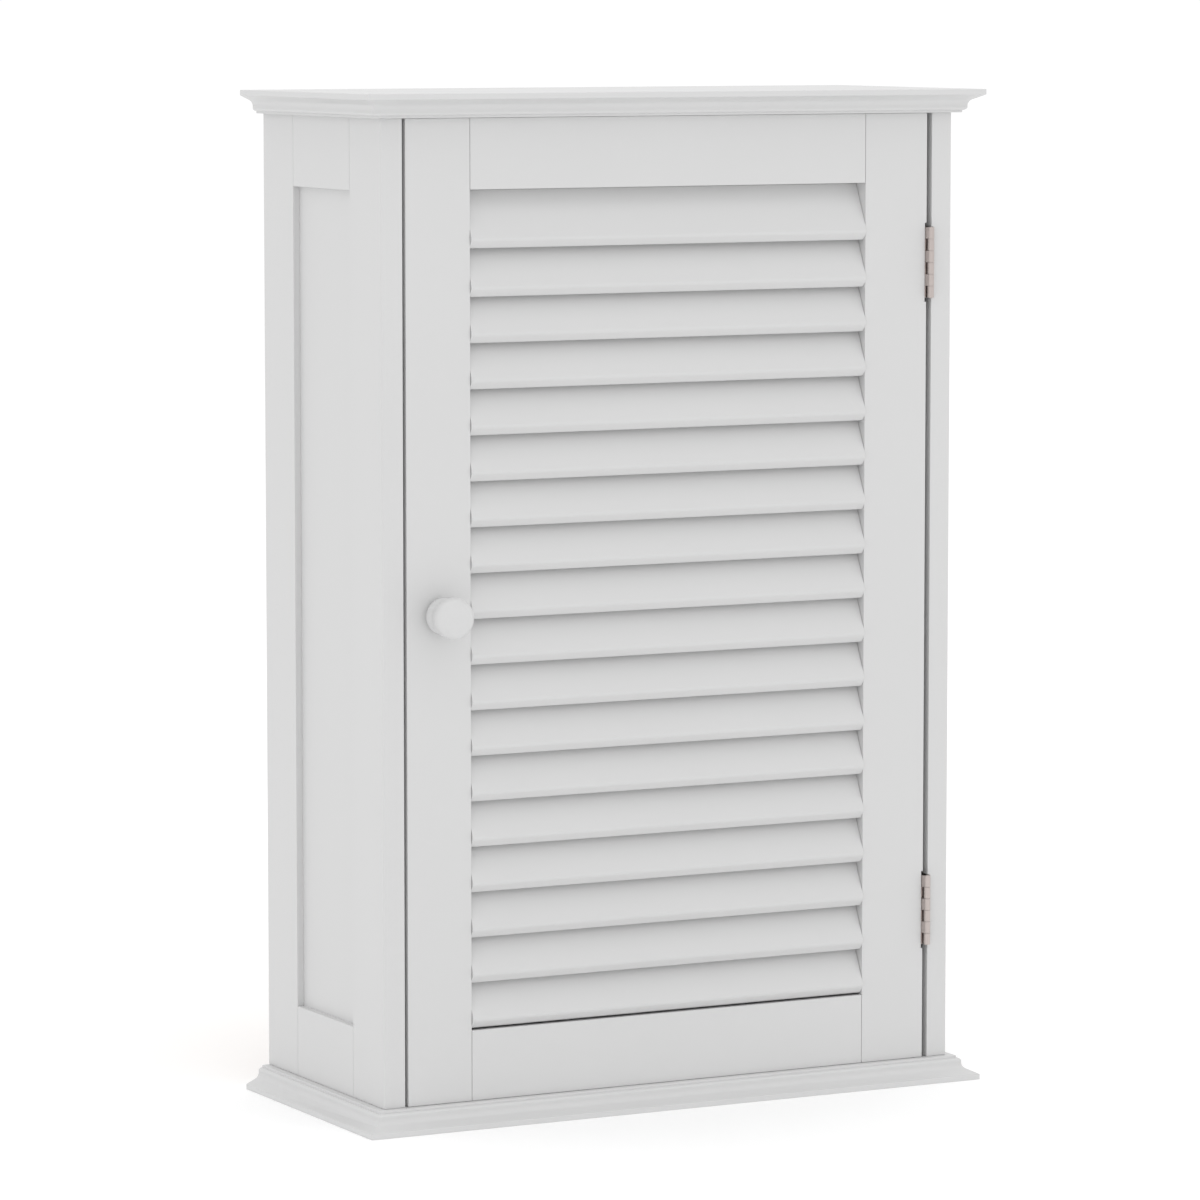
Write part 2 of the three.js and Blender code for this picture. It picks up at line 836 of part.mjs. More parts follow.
// Louvre slats. A slat's section is drawn about its nose, with one direction up the
// slope of its face and the other straight through its thickness.

function slatPoint(up, through) {
  return [
    -slatNoseProud + up * Math.sin(slatTilt) + through * Math.cos(slatTilt),
    up * Math.cos(slatTilt) - through * Math.sin(slatTilt),
  ];
}

function slatOutline() {
  const corners = [
    [0, 0, slatNoseRadius],
    [-slatBevelDrop, slatThickness, slatHeelRadius],
    [slatWidth, slatThickness, slatTopRadius],
    [slatWidth, 0, slatTopRadius],
  ];
  return rounded(corners.map(([up, through, r]) => [...slatPoint(up, through), r]));
}

// The tenon starts far enough up the slope to leave wood in front of it.
function tenonOutline(margin) {
  const through = (slatThickness - slatTenonThickness) / 2;
  const covered = slatTenonCover + slatNoseProud - through * Math.cos(slatTilt);
  const low = covered / Math.sin(slatTilt) - margin;
  const high = slatWidth - slatTenonSetback + margin;
  const near = through - margin;
  const far = through + slatTenonThickness + margin;
  return [[low, near], [high, near], [high, far], [low, far]].map(([u, v]) => slatPoint(u, v));
}

function slat() {
  const body = prism(slatOutline(), 'x', widened(louvreSpan, -slatEndGap));
  return body.add(prism(tenonOutline(0), 'x', widened(louvreSpan, slatTenonLength)));
}

// Heights of the slats' noses, from the top. The lowest slats are evenly spaced and the
// top one sits close under the rail, a little further from its neighbour.
function slatLevels() {
  const heel = slatPoint(-slatBevelDrop, slatThickness)[1];
  const lowest = bottomRailSpan[1] + louvreBottomGap - heel;
  const highest = topRailSpan[0] - slatTopGap - slatPoint(slatWidth, 0)[1];
  const intervals = Math.round((highest - lowest) / slatPitch);
  const pitch = (highest - lowest) / (intervals + topSpacingExtraShare);
  const levels = [highest];
  for (let index = intervals - 1; index >= 0; index -= 1) {
    levels.push(lowest + index * pitch);
  }
  return levels;
}

// Door frame. Inside the door, X is zero at the latch edge, Y at the face and Z at the foot.

const doorCorner = [doorLatchGap - insideHalf, 0, doorEndGap];

function insideDoor(places) {
  return shifted(places, doorCorner.map((value) => -value));
}

function stileMortises(stile, [from, to], railDepth) {
  const outline = tenonOutline(mortiseFit);
  let cut = stile;
  for (const level of slatLevels()) {
    const placed = outline.map(([y, z]) => [y, z + level]);
    cut = cut.subtract(prism(placed, 'x', [from, to]));
  }
  const half = railTenonThickness / 2 + mortiseFit;
  const through = [doorThickness / 2 - half, doorThickness / 2 + half];
  for (const span of [topRailSpan, bottomRailSpan]) {
    const height = widened(span, mortiseFit - railTenonShoulder);
    cut = cut.subtract(block(railDepth, through, height));
  }
  return cut;
}

function latchStile() {
  const slatFloor = latchStileWidth - slatTenonLength - mortiseFit;
  const railFloor = latchStileWidth - railTenonLength - mortiseFit;
  const open = latchStileWidth + overrun;
  const blank = block([0, latchStileWidth], [0, doorThickness], [0, doorHeight]);
  const stile = stileMortises(blank, [slatFloor, open], [railFloor, open]);
  const centre = [knobInset, 0, knobHeight - doorEndGap];
  const through = [-overrun, doorThickness + overrun];
  const drilled = stile.subtract(rod('y', centre, through, knobScrewRadius + knobScrewClearance));
  return cutScrewHoles(drilled, strikeScrewPlaces(), 'y', -1);
}

function hingeStile() {
  const inner = doorWidth - hingeStileWidth;
  const slatFloor = inner + slatTenonLength + mortiseFit;
  const railFloor = inner + railTenonLength + mortiseFit;
  const open = inner - overrun;
  const blank = block([inner, doorWidth], [0, doorThickness], [0, doorHeight]);
  let stile = stileMortises(blank, [open, slatFloor], [open, railFloor]);
  stile = cutScrewHoles(stile, insideDoor(hingeScrewPlaces(-1)), 'x', -1);
  for (const level of hingeLevels()) {
    const centre = level - doorEndGap;
    const reach = hingeHeight / 2 + doorMortiseSlack;
    stile = stile.subtract(
      block(
        [doorWidth - leafThickness - seatGap, doorWidth + overrun],
        [-overrun, leafDepth + leafClearance],
        [centre - reach, centre + reach],
      ),
    );
  }
  return stile;
}

function doorRail(span) {
  const half = railTenonThickness / 2;
  const body = block(widened(louvreSpan, -jointGap), [0, doorThickness], span);
  return body.add(
    block(
      widened(louvreSpan, railTenonLength),
      [doorThickness / 2 - half, doorThickness / 2 + half],
      widened(span, -railTenonShoulder),
    ),
  );
}

// Knob, with its axis along Y and its foot against the door's face.

function knob() {
  const rim = knobProjection - knobFaceRise - knobEdgeRadius;
  const curves = [
    [[knobRadius, knobHeadBack], [knobNeckRadius, knobNeck]],
    [[knobNeckRadius, knobNeck], [knobShoulderRadius, knobShoulder]],
  ];
  const profile = [[0, -knobProjection]];
  for (let step = 1; step <= hollowSteps; step += 1) {
    const share = step / hollowSteps;
    profile.push([
      (knobRadius - knobEdgeRadius) * share,
      -knobProjection + knobFaceRise * share * share,
    ]);
  }
  for (let step = 1; step <= hollowSteps; step += 1) {
    const angle = (Math.PI / 2) * (step / hollowSteps);
    profile.push([
      knobRadius - knobEdgeRadius * (1 - Math.sin(angle)),
      -rim - knobEdgeRadius * Math.cos(angle),
    ]);
  }
  profile.push([knobRadius, -knobHeadBack]);
  for (const [[radius0, level0], [radius1, level1]] of curves) {
    for (let step = 1; step <= hollowSteps; step += 1) {
      const share = step / hollowSteps;
      const ease = (1 - Math.cos(Math.PI * share)) / 2;
      profile.push([radius0 + (radius1 - radius0) * ease, -level0 + (level0 - level1) * share]);
    }
  }
  for (let step = 1; step <= hollowSteps; step += 1) {
    const angle = (Math.PI / 2) * (step / hollowSteps);
    profile.push([
      knobFootRadius + (knobShoulderRadius - knobFootRadius) * Math.cos(angle),
      -knobShoulder + (knobShoulder - knobFoot) * Math.sin(angle),
    ]);
  }
  const boreRadius = knobScrewRadius + knobScrewClearance;
  profile.push(
    [knobFootRadius, -seatGap],
    [boreRadius, -seatGap],
    [boreRadius, -knobBoreDepth],
    [0, -knobBoreDepth],
  );
  return turned(profile, 'y', [0, 0, 0], knobSteps);
}

function knobScrew() {
  const head = doorThickness + seatGap;
  const dome = head + knobScrewHeadHeight;
  const profile = [
    [0, -knobScrewReach],
    [knobScrewRadius, -knobScrewReach],
    [knobScrewRadius, head],
    [knobScrewHeadRadius, head],
  ];
  for (let step = 0; step <= arcSteps; step += 1) {
    const angle = (Math.PI / 2) * (step / arcSteps);
    profile.push([
      knobScrewHeadRadius * Math.cos(angle),
      head + (dome - head) * (1 + Math.sin(angle)) / 2,
    ]);
  }
  return turned(profile, 'y', [0, 0, 0], barrelSteps);
}

function strikeScrewPlaces() {
  return insideDoor([[catchCentreX, doorThickness + seatGap + strikeThickness, magnetLevel]]);
}

function strikePlate() {
  const [[centreX, back, centreZ]] = strikeScrewPlaces();
  const outline = rectangle(
    [centreX - strikeLength / 2, centreX + strikeLength / 2],
    [centreZ - strikeHeight / 2, centreZ + strikeHeight / 2],
    strikeCornerRadius,
  );
  const plate = prism(outline, 'y', [back - strikeThickness, back]);
  return cutScrewHoles(plate, strikeScrewPlaces(), 'y', -1);
}

function addDoor(cabinet) {
  const door = new THREE.Group();
  door.position.set(...doorCorner);
  door.add(
    mesh('door_latch_stile', latchStile(), satinPaint()),
    mesh('door_hinge_stile', hingeStile(), satinPaint()),
    mesh('door_top_rail', doorRail(topRailSpan), satinPaint()),
    mesh('door_bottom_rail', doorRail(bottomRailSpan), satinPaint()),
    mesh('strike_plate', strikePlate(), zincPlate()),
    mesh('strike_screw', screw(strikeScrewPlaces()[0], 'y', -1), zincPlate()),
  );
  const slatShape = slat();
  slatLevels().forEach((level, index) => {
    const number = String(index + 1).padStart(2, '0');
    const piece = mesh(`louvre_slat_${number}`, slatShape, satinPaint());
    piece.position.z = level;
    door.add(piece);
  });
  const pull = new THREE.Group();
  pull.position.set(knobInset, 0, knobHeight - doorEndGap);
  pull.add(mesh('knob', knob(), satinPaint()), mesh('knob_screw', knobScrew(), zincPlate()));
  door.add(pull);
  cabinet.add(door);
}

// Cabinet

function makeCabinet() {
  const cabinet = new THREE.Group();
  cabinet.position.set(0, (knobProjection - carcassDepth) / 2, boardThickness);
  const topBoard = cutScrewHoles(mouldedBoard(carcassHeight, 1), catchScrewPlaces(), 'z', 1);
  cabinet.add(
    mesh('top_board', topBoard, satinPaint()),
    mesh('base_board', mouldedBoard(0, -1), satinPaint()),
  );
  addSide(cabinet, 'left', -1);
  addSide(cabinet, 'right', 1);
  addBack(cabinet);
  addShelf(cabinet);
  addCatch(cabinet);
  addHinges(cabinet);
  addDoor(cabinet);
  const whole = new THREE.Group();
  whole.add(cabinet);
  return whole;
}

export default makeCabinet();
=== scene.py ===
import math

import bmesh
import bpy
from bpy.props import FloatProperty, FloatVectorProperty, PointerProperty
from mathutils import Matrix, Vector


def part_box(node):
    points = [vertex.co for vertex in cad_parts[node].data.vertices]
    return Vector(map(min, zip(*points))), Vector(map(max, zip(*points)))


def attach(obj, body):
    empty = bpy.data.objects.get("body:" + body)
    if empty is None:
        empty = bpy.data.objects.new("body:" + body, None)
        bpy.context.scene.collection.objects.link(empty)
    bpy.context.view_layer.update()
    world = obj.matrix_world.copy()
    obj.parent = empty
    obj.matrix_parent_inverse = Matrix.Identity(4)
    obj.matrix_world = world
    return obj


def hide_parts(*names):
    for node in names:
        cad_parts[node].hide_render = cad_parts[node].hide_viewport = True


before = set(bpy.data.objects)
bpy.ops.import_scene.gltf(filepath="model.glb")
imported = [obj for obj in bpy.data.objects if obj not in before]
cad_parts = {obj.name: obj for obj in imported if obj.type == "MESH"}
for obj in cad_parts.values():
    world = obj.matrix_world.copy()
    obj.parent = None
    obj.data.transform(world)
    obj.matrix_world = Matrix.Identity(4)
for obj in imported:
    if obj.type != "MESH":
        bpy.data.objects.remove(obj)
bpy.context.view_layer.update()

bl_info = {
    "name": "Louvred Door Cabinet",
    "version": (1, 0, 0),
    "blender": (4, 5, 0),
    "location": "View3D > Sidebar > Cabinet",
    "description": "Finishes the boards, the louvred door and the fittings of a wall cabinet",
    "category": "Object",
}

MM = 0.001
CABINET = "cabinet"
DOOR = "door"

# Facets of a quarter round, and of a full turn
ARC_STEPS = 5
COVE_STEPS = 14
HOLE_STEPS = 32
BARREL_STEPS = 48
KNOB_STEPS = 96

# Edges sharper than this get rounded or shown as an edge
SHARP = math.radians(40)

# Points closer than this are one point
MERGE_DISTANCE = 0.001 * MM

# How far a cutter runs past what it cuts
OVERRUN = 2 * MM

FORWARDS = (0, -1, 0)
UPWARDS = (0, 0, 1)
SIDES = ("left", "right")
HINGES = ("upper", "lower")
HANGERS = ("left_keyhole_hanger", "right_keyhole_hanger")
CATCH_SCREWS = ("catch_screw_left", "catch_screw_right")
DOOR_RAILS = ("door_top_rail", "door_bottom_rail")

# The leaves of a hinge: the side of its pin that each lies on, its name and its body
LEAVES = ((-1, "door", DOOR), (1, "frame", CABINET))

# Knuckles of a hinge, taken in turn by its two leaves
KNUCKLES = 6

# Spare shelf pin holes above a pin, and as many below it
SPARE_HOLES = 2

# Values that most of a noise pattern lies between
NOISE_LOW = 0.3
NOISE_HIGH = 0.7

# Numbers of a mix node's sockets, which share their names: factor, values, colours, results
MIX_FACTOR = 0
MIX_VALUES = (2, 3)
MIX_COLOURS = (6, 7)
MIXED_VALUE = 0
MIXED_COLOUR = 2

# Photograph's view: the lens for a 36 mm sensor, and the aim beside the middle of the carcass
CAMERA_LENS = 173.1
CAMERA_SENSOR = 36
CAMERA_AZIMUTH = math.radians(-27.539)
CAMERA_ELEVATION = math.radians(5.981)
CAMERA_DISTANCE = 3468.7 * MM
CAMERA_AIM_RIGHT = 5.4 * MM
CAMERA_AIM_UP = 5.93 * MM


def linear(colour):
    """Turns an sRGB hex colour into linear red, green and blue, by the standard's formula."""
    channels = [int(colour[start:start + 2], 16) / 255 for start in (1, 3, 5)]
    return [c / 12.92 if c <= 0.04045 else ((c + 0.055) / 1.055) ** 2.4 for c in channels]


# Sizes and colours that a user would change


def length(name, description, millimetres):
    return FloatProperty(
        name=name, description=description, default=millimetres * MM, min=0, unit="LENGTH",
        precision=5,
    )


def degrees(name, description, value):
    return FloatProperty(
        name=name, description=description, default=math.radians(value), min=0,
        subtype="ANGLE",
    )


def colour(name, description, value):
    return FloatVectorProperty(
        name=name, description=description, default=linear(value), min=0, max=1, size=3,
        subtype="COLOR",
    )


class CabinetColours(bpy.types.PropertyGroup):
    lacquer: colour("Lacquer", "White of the sprayed boards, slats and knob", "#D0D0D0")
    hardboard: colour("Hardboard", "Bare brown side of the back panel", "#8C6B4C")
    nickel: colour("Nickel", "Warm satin nickel of the hinges", "#C0B6B2")
    zinc: colour("Zinc", "Bright zinc of the screws, pins and plates", "#BFC5CA")
    plastic: colour("Plastic", "White of the catch's moulded housing", "#DAD9D5")
    ferrite: colour("Ferrite", "Dark grey of the catch's magnet", "#3A3A3C")
    floor: colour("Floor", "Pale floor of the studio", "#F8F8F8")


class CabinetSizes(bpy.types.PropertyGroup):
    soft_edge: length("Soft edge", "Rounding that the sprayed coats leave on a cut edge", 0.3)
    post_radius: length("Post radius", "Rounding of the cabinet's outer front corners", 1.2)
    board_overhang: length("Board overhang", "How far the boards reach past the sides", 15.1)
    lip_overhang: length("Lip overhang", "Overhang of the moulding's lip", 4.6)
    lip_height: length("Lip height", "Height of the moulding's lip", 1.4)
    bead_overhang: length("Bead overhang", "Overhang of the moulding's bead", 6.9)
    bead_height: length("Bead height", "Height of the round of the moulding's bead", 1.8)
    listel_height: length("Listel height", "Height of the upright past the bead", 1)
    hollow_radius: length("Hollow radius", "Radius of the moulding's hollow", 4.2)
    hollow_turn: degrees("Hollow turn", "How far the moulding's hollow turns from upright", 60)
    fillet_height: length("Fillet height", "Height of the board's outer upright edge", 3.2)
    groove_depth: length("Groove depth", "Depth of the grooves that hold the side panels", 7)
    groove_fit: length("Groove fit", "Play beside a panel in its groove", 0.15)
    painted_fit: length("Painted fit", "What the paint leaves open beside a panel", 0.03)
    shoulder_gap: length("Shoulder gap", "Open line between a door rail and its stile", 0.2)
    pin_hole_radius: length("Pin hole radius", "Radius of the shelf pins' holes", 2.5)
    pin_hole_depth: length("Pin hole depth", "Depth of the shelf pins' holes", 8)
    pin_hole_spacing: length("Pin hole spacing", "Height from one pin hole to the next", 32)
    slat_thickness: length("Slat thickness", "Thickness of a louvre slat", 6.8)
    slat_proud: length("Slat proud", "How far the slats stand in front of the door's face", 2.2)
    slat_setback: length("Slat setback", "How far the slats stay inside the door's back", 0.75)
    slat_end_gap: length("Slat end gap", "Gap from a slat's end to the stile", 0.2)
    slat_bevel: length("Slat bevel", "Drop of a slat's lower edge from front to back", 3)
    slat_nose: length("Slat nose", "Rounding of a slat's lower front edge", 2.5)
    slat_heel: length("Slat heel", "Rounding of a slat's lower back edge", 1)
    slat_top: length("Slat top", "Rounding of a slat's upper edges", 0.5)
    slat_tilt: degrees("Slat tilt", "Lean of the slats from upright", 24.9)
    tenon_thickness: length("Tenon thickness", "Thickness of a slat's tenon", 4)
    tenon_cover: length("Tenon cover", "Wood left in front of a slat's tenon", 3.5)
    tenon_setback: length("Tenon setback", "Step at the top of a slat's tenon", 1.5)
    rail_tenon: length("Rail tenon", "Thickness of a door rail's tenon", 6)
    rail_tenon_shoulder: length("Tenon shoulder", "Step above and below a rail's tenon", 8)
    mortise_fit: length("Mortise fit", "Play around a tenon or a plate in its mortise", 0.3)
    barrel_radius: length("Barrel radius", "Outer radius of the hinges' knuckles", 2)
    leaf_clearance: length("Leaf clearance", "Play behind the other leaf's knuckles", 0.25)
    leaf_bed: length("Leaf bed", "Gap between a leaf and the floor of its mortise", 0.1)
    door_mortise_slack: length("Door mortise slack", "Spare height of the door's mortises", 2.6)
    knuckle_gap: length("Knuckle gap", "Gap from one knuckle to the next", 0.15)
    pin_bore: length("Pin bore", "Radius of the bore through the knuckles", 1.1)
    leaf_screw_inset: length("Leaf screw inset", "From a leaf's end to its screw", 9)
    screw_head: length("Screw head", "Radius of a countersunk screw's head", 2.8)
    screw_shank: length("Screw shank", "Radius of a screw's shank", 1.45)
    screw_sink: length("Screw sink", "Height of a screw's countersunk head", 1.1)
    screw_length: length("Screw length", "Length of a screw", 10)
    knob_edge: length("Knob edge", "Rounding of the knob's front edge", 4.2)
    knob_face_rise: length("Knob face rise", "Crown of the knob's face", 1.3)
    knob_head_back: length("Knob head back", "Where the knob's head ends, from the door", 17.5)
    knob_neck_radius: length("Knob neck radius", "Radius of the knob's neck", 9.8)
    knob_neck: length("Knob neck", "Where the knob's neck is, from the door", 9.5)
    knob_shoulder_radius: length("Knob shoulder radius", "Radius of the knob's shoulder", 10.6)
    knob_shoulder: length("Knob shoulder", "Where the knob's shoulder is, from the door", 5)
    knob_foot_radius: length("Knob foot radius", "Radius of the knob's foot", 7.8)
    knob_foot: length("Knob foot", "Height of the knob's straight foot", 1.6)
    knob_bore: length("Knob bore", "Radius of the knob screw's bore", 2.1)
    pressed_edge: length("Pressed edge", "Rounding of the edges of pressed plates", 0.15)


# Materials


def add_node(tree, kind, settings=(), links=()):
    """Adds a shader node, sets its fields or its inputs by name or number, and links inputs."""
    node = tree.nodes.new(kind)
    for key, value in dict(settings).items():
        if isinstance(key, int) or key in node.inputs:
            node.inputs[key].default_value = value
        else:
            setattr(node, key, value)
    for key, output in dict(links).items():
        tree.links.new(output, node.inputs[key])
    return node


def finish(name, settings, colour_name, patterns, tones, roughness=(), depth=0):
    """Returns the finish of that name, and makes it the first time. patterns gets the node
    tree and the place on the piece, and returns three values. The first moves the colour
    between two shares of it, the tones, and the second moves the roughness between the two
    that are given. The third is the relief, which has that depth."""
    found = bpy.data.materials.get(name)
    if found:
        return found
    made = bpy.data.materials.new(name)
    made.use_nodes = True
    tree = made.node_tree
    tree.nodes.clear()
    place = add_node(tree, "ShaderNodeTexCoord").outputs["Object"]
    tone, sheen, height = patterns(tree, place)
    base = getattr(bpy.context.scene.cabinet_colours, colour_name)
    shades = [(*(min(1, channel * share) for channel in base), 1) for share in tones]
    spread = {"From Min": NOISE_LOW, "From Max": NOISE_HIGH}
    blend = add_node(
        tree, "ShaderNodeMapRange", {**spread, "To Min": 0, "To Max": 1}, {"Value": tone}
    )
    mix = add_node(
        tree, "ShaderNodeMix", {"data_type": "RGBA", **dict(zip(MIX_COLOURS, shades))},
        {MIX_FACTOR: blend.outputs["Result"]},
    )
    moved = {"Base Color": mix.outputs[MIXED_COLOUR]}
    if roughness:
        low, high = roughness
        polish = add_node(
            tree, "ShaderNodeMapRange", {**spread, "To Min": low, "To Max": high},
            {"Value": sheen},
        )
        moved["Roughness"] = polish.outputs["Result"]
    if depth:
        relief = add_node(
            tree, "ShaderNodeBump", {"Strength": 1, "Distance": depth}, {"Height": height}
        )
        moved["Normal"] = relief.outputs["Normal"]
    shader = add_node(tree, "ShaderNodeBsdfPrincipled", settings, moved)
    add_node(tree, "ShaderNodeOutputMaterial", links={"Surface": shader.outputs["BSDF"]})
    return made


def plain_finish(name, settings, colour_name, grain, detail, stretch=1, **ranges):
    """A finish with one pattern for its colour, roughness and relief, whose patches are about
    as wide as grain. stretch draws them out along z."""

    def patterns(tree, place):
        if stretch != 1:
            along = add_node(
                tree, "ShaderNodeMapping", {"Scale": (1, 1, stretch)}, {"Vector": place}
            )
            place = along.outputs["Vector"]
        patches = add_node(
            tree, "ShaderNodeTexNoise", {"Scale": 1 / grain, "Detail": detail},
            {"Vector": place},
        )
        return [patches.outputs["Fac"]] * 3

    return finish(name, settings, colour_name, patterns, **ranges)


# White catalysed lacquer, sprayed on fibreboard and rubbed down between coats. It is a satin
# skin with a faint orange peel, and its sheen varies a little from one pass of the gun to the
# next. Real peel is about 1 mm across: it is drawn at 2.5 mm, so that it can show at all.
def lacquer():
    peel = 2.5 * MM
    peel_depth = 0.004 * MM
    pass_width = 90 * MM

    def patterns(tree, place):
        passes, skin = (
            add_node(
                tree, "ShaderNodeTexNoise", {"Scale": 1 / width, "Detail": detail},
                {"Vector": place},
            ).outputs["Fac"]
            for width, detail in ((pass_width, 2.0), (peel, 3.0))
        )
        return passes, passes, skin

    return finish(
        "Sprayed satin lacquer", {"IOR": 1.5}, "lacquer", patterns, tones=(0.992, 1.004),
        roughness=(0.46, 0.54), depth=peel_depth,
    )


# Tempered hardboard, hot pressed from wood fibre. Its bare side is brown and mottled, with
# fine fibres and the print of the wire screen that it was pressed on. Real wires are about
# 1.5 mm apart: they are drawn at 3 mm, so that they can show at all.
def hardboard():
    fibre = 1.2 * MM
    fibre_share = 0.6
    mottle = 25 * MM
    screen = 3 * MM
    screen_depth = 0.05 * MM
    radians_at_scale_one = 20

    def patterns(tree, place):
        scale = math.tau / (radians_at_scale_one * screen)
        wires = add_node(
            tree, "ShaderNodeTexWave", {"Scale": scale, "Distortion": 2.0, "Detail": 2.0},
            {"Vector": place},
        )
        fibres, patches = (
            add_node(
                tree, "ShaderNodeTexNoise", {"Scale": 1 / width, "Detail": detail},
                {"Vector": place},
            ).outputs["Fac"]
            for width, detail in ((fibre, 4.0), (mottle, 5.0))
        )
        print_and_fibres = add_node(
            tree, "ShaderNodeMath", {"operation": "ADD"}, {0: fibres, 1: wires.outputs["Fac"]}
        )
        tone = add_node(
            tree, "ShaderNodeMix", {MIX_FACTOR: fibre_share},
            dict(zip(MIX_VALUES, (patches, fibres))),
        )
        return tone.outputs[MIXED_VALUE], fibres, print_and_fibres.outputs["Value"]

    return finish(
        "Bare hardboard", {"IOR": 1.5}, "hardboard", patterns, tones=(0.8, 1.14),
        roughness=(0.72, 0.88), depth=screen_depth,
    )


# Steel that was satin brushed and nickel plated. The plate has a warm tint, and the brush
# leaves fine lines along the barrel that soften what it mirrors. Real lines are about 0.1 mm
# apart: they are drawn at 0.4 mm, so that they can show at all.
def satin_nickel():
    return plain_finish(
        "Satin nickel plate", {"Metallic": 1.0}, "nickel", grain=0.4 * MM, detail=3.0,
        stretch=0.06, tones=(0.97, 1.02), roughness=(0.3, 0.4), depth=0.002 * MM,
    )


# Pressed and turned steel with bright zinc plate. It is cool and a little cloudy, because the
# plate grows in small patches.
def zinc_plate():
    return plain_finish(
        "Bright zinc plate", {"Metallic": 1.0}, "zinc", grain=1.5 * MM, detail=4.0,
        tones=(0.92, 1.04), roughness=(0.26, 0.4),
    )


# White acetal, injection moulded in a spark-eroded tool, so its skin is an even fine matt.
# Its real grain is about 0.1 mm across: it is drawn at 0.6 mm, so that it can show at all.
def moulded_acetal():
    return plain_finish(
        "Moulded acetal", {"IOR": 1.48}, "plastic", grain=0.6 * MM, detail=2.0,
        tones=(0.985, 1.01), roughness=(0.5, 0.6), depth=0.008 * MM,
    )


# Sintered ferrite, ground flat on its faces: a dull dark ceramic with fine pits. Real pits are
# about 0.1 mm across: they are drawn at 0.5 mm, so that they can show at all.
def sintered_ferrite():
    return plain_finish(
        "Sintered ferrite", {"IOR": 1.6}, "ferrite", grain=0.5 * MM, detail=5.0,
        tones=(0.8, 1.2), roughness=(0.6, 0.8), depth=0.03 * MM,
    )


# Finish of each material slot
FINISHES = {
    "white_paint": lacquer, "hinge_nickel": satin_nickel, "zinc_steel": zinc_plate,
    "white_plastic": moulded_acetal, "ferrite": sintered_ferrite,
}


# Shapes


def arc(turn, steps=COVE_STEPS):
    """Angles from zero to a turn, in even steps."""
    return [turn * step / steps for step in range(steps + 1)]


def solid_outline(corners, axis, start, end):
    """Extrudes an outline along an axis. A corner is (a, b, radius), and its two coordinates
    are those that the axis leaves, in the order x, y, z."""
    spot = {"x": lambda a, b: (start, a, b), "y": lambda a, b: (a, start, b),
            "z": lambda a, b: (a, b, start)}[axis]
    travel = {"x": Vector((1, 0, 0)), "y": Vector((0, 1, 0)), "z": Vector((0, 0, 1))}[axis]
    bm = bmesh.new()
    verts = [bm.verts.new(spot(a, b)) for a, b, _ in corners]
    bm.faces.new(verts)
    for index, (_, _, radius) in enumerate(corners):
        if radius:
            corner = verts[index]
            neighbours = (corners[index - 1], corners[(index + 1) % len(corners)])
            before, after = (
                (Vector(spot(a, b)) - corner.co).normalized() for a, b, _ in neighbours
            )
            reach = radius / math.tan(before.angle(after) / 2)
            bmesh.ops.bevel(
                bm, geom=[corner], offset=reach, offset_type="OFFSET", affect="VERTICES",
                segments=ARC_STEPS, profile=0.5, material=-1,
            )
    grown = bmesh.ops.extrude_face_region(bm, geom=list(bm.faces))
    top = [item for item in grown["geom"] if isinstance(item, bmesh.types.BMVert)]
    bmesh.ops.translate(bm, vec=travel * (end - start), verts=top)
    bmesh.ops.recalc_face_normals(bm, faces=bm.faces)
    return bm


def block(low, high):
    """A box from its lowest to its highest corner."""
    low, high = Vector(low), Vector(high)
    bm = bmesh.new()
    bmesh.ops.create_cube(bm, size=1)
    bmesh.ops.scale(bm, vec=high - low, verts=bm.verts)
    bmesh.ops.translate(bm, vec=(low + high) / 2, verts=bm.verts)
    return bm


def facing(direction, place):
    """Turns +z to a direction, and moves the origin to a place."""
    turn = Vector((0, 0, 1)).rotation_difference(Vector(direction)).to_matrix().to_4x4()
    return Matrix.Translation(place) @ turn


def turned(profile, direction, place, steps):
    """Spins a profile of (radius, distance) about a line from place in that direction."""
    bm = bmesh.new()
    verts = [bm.verts.new((radius, 0, along)) for radius, along in profile]
    edges = [bm.edges.new(pair) for pair in zip(verts, verts[1:])]
    bmesh.ops.spin(
        bm, geom=verts + edges, cent=(0, 0, 0), axis=(0, 0, 1), dvec=(0, 0, 0),
        angle=math.tau, steps=steps, use_merge=True, use_duplicate=False,
    )
    bmesh.ops.remove_doubles(bm, verts=bm.verts, dist=MERGE_DISTANCE)
    bmesh.ops.recalc_face_normals(bm, faces=bm.faces)
    bmesh.ops.transform(bm, matrix=facing(direction, place), verts=bm.verts)
    return bm


def rod(radius, start, end, steps=HOLE_STEPS):
    """A cylinder between two points."""
    start, end = Vector(start), Vector(end)
    span = (end - start).length
    return turned([(0, 0), (radius, 0), (radius, span), (0, span)], end - start, start, steps)


def soften(bm, width, segments=2):
    """Rounds every sharp outer edge."""
    bm.normal_update()
    edges = [e for e in bm.edges if e.is_manifold and e.calc_face_angle_signed() > SHARP]
    bmesh.ops.bevel(
        bm, geom=edges, offset=width, offset_type="OFFSET", affect="EDGES",
        segments=segments, profile=0.5, material=-1, clamp_overlap=True,
    )
    return bm


def gathered(shapes):
    """Puts shapes that don't touch into one."""
    whole = bmesh.new()
    for shape in shapes:
        mesh = bpy.data.meshes.new("shape")
        shape.to_mesh(mesh)
        shape.free()
        whole.from_mesh(mesh)
        bpy.data.meshes.remove(mesh)
    return whole


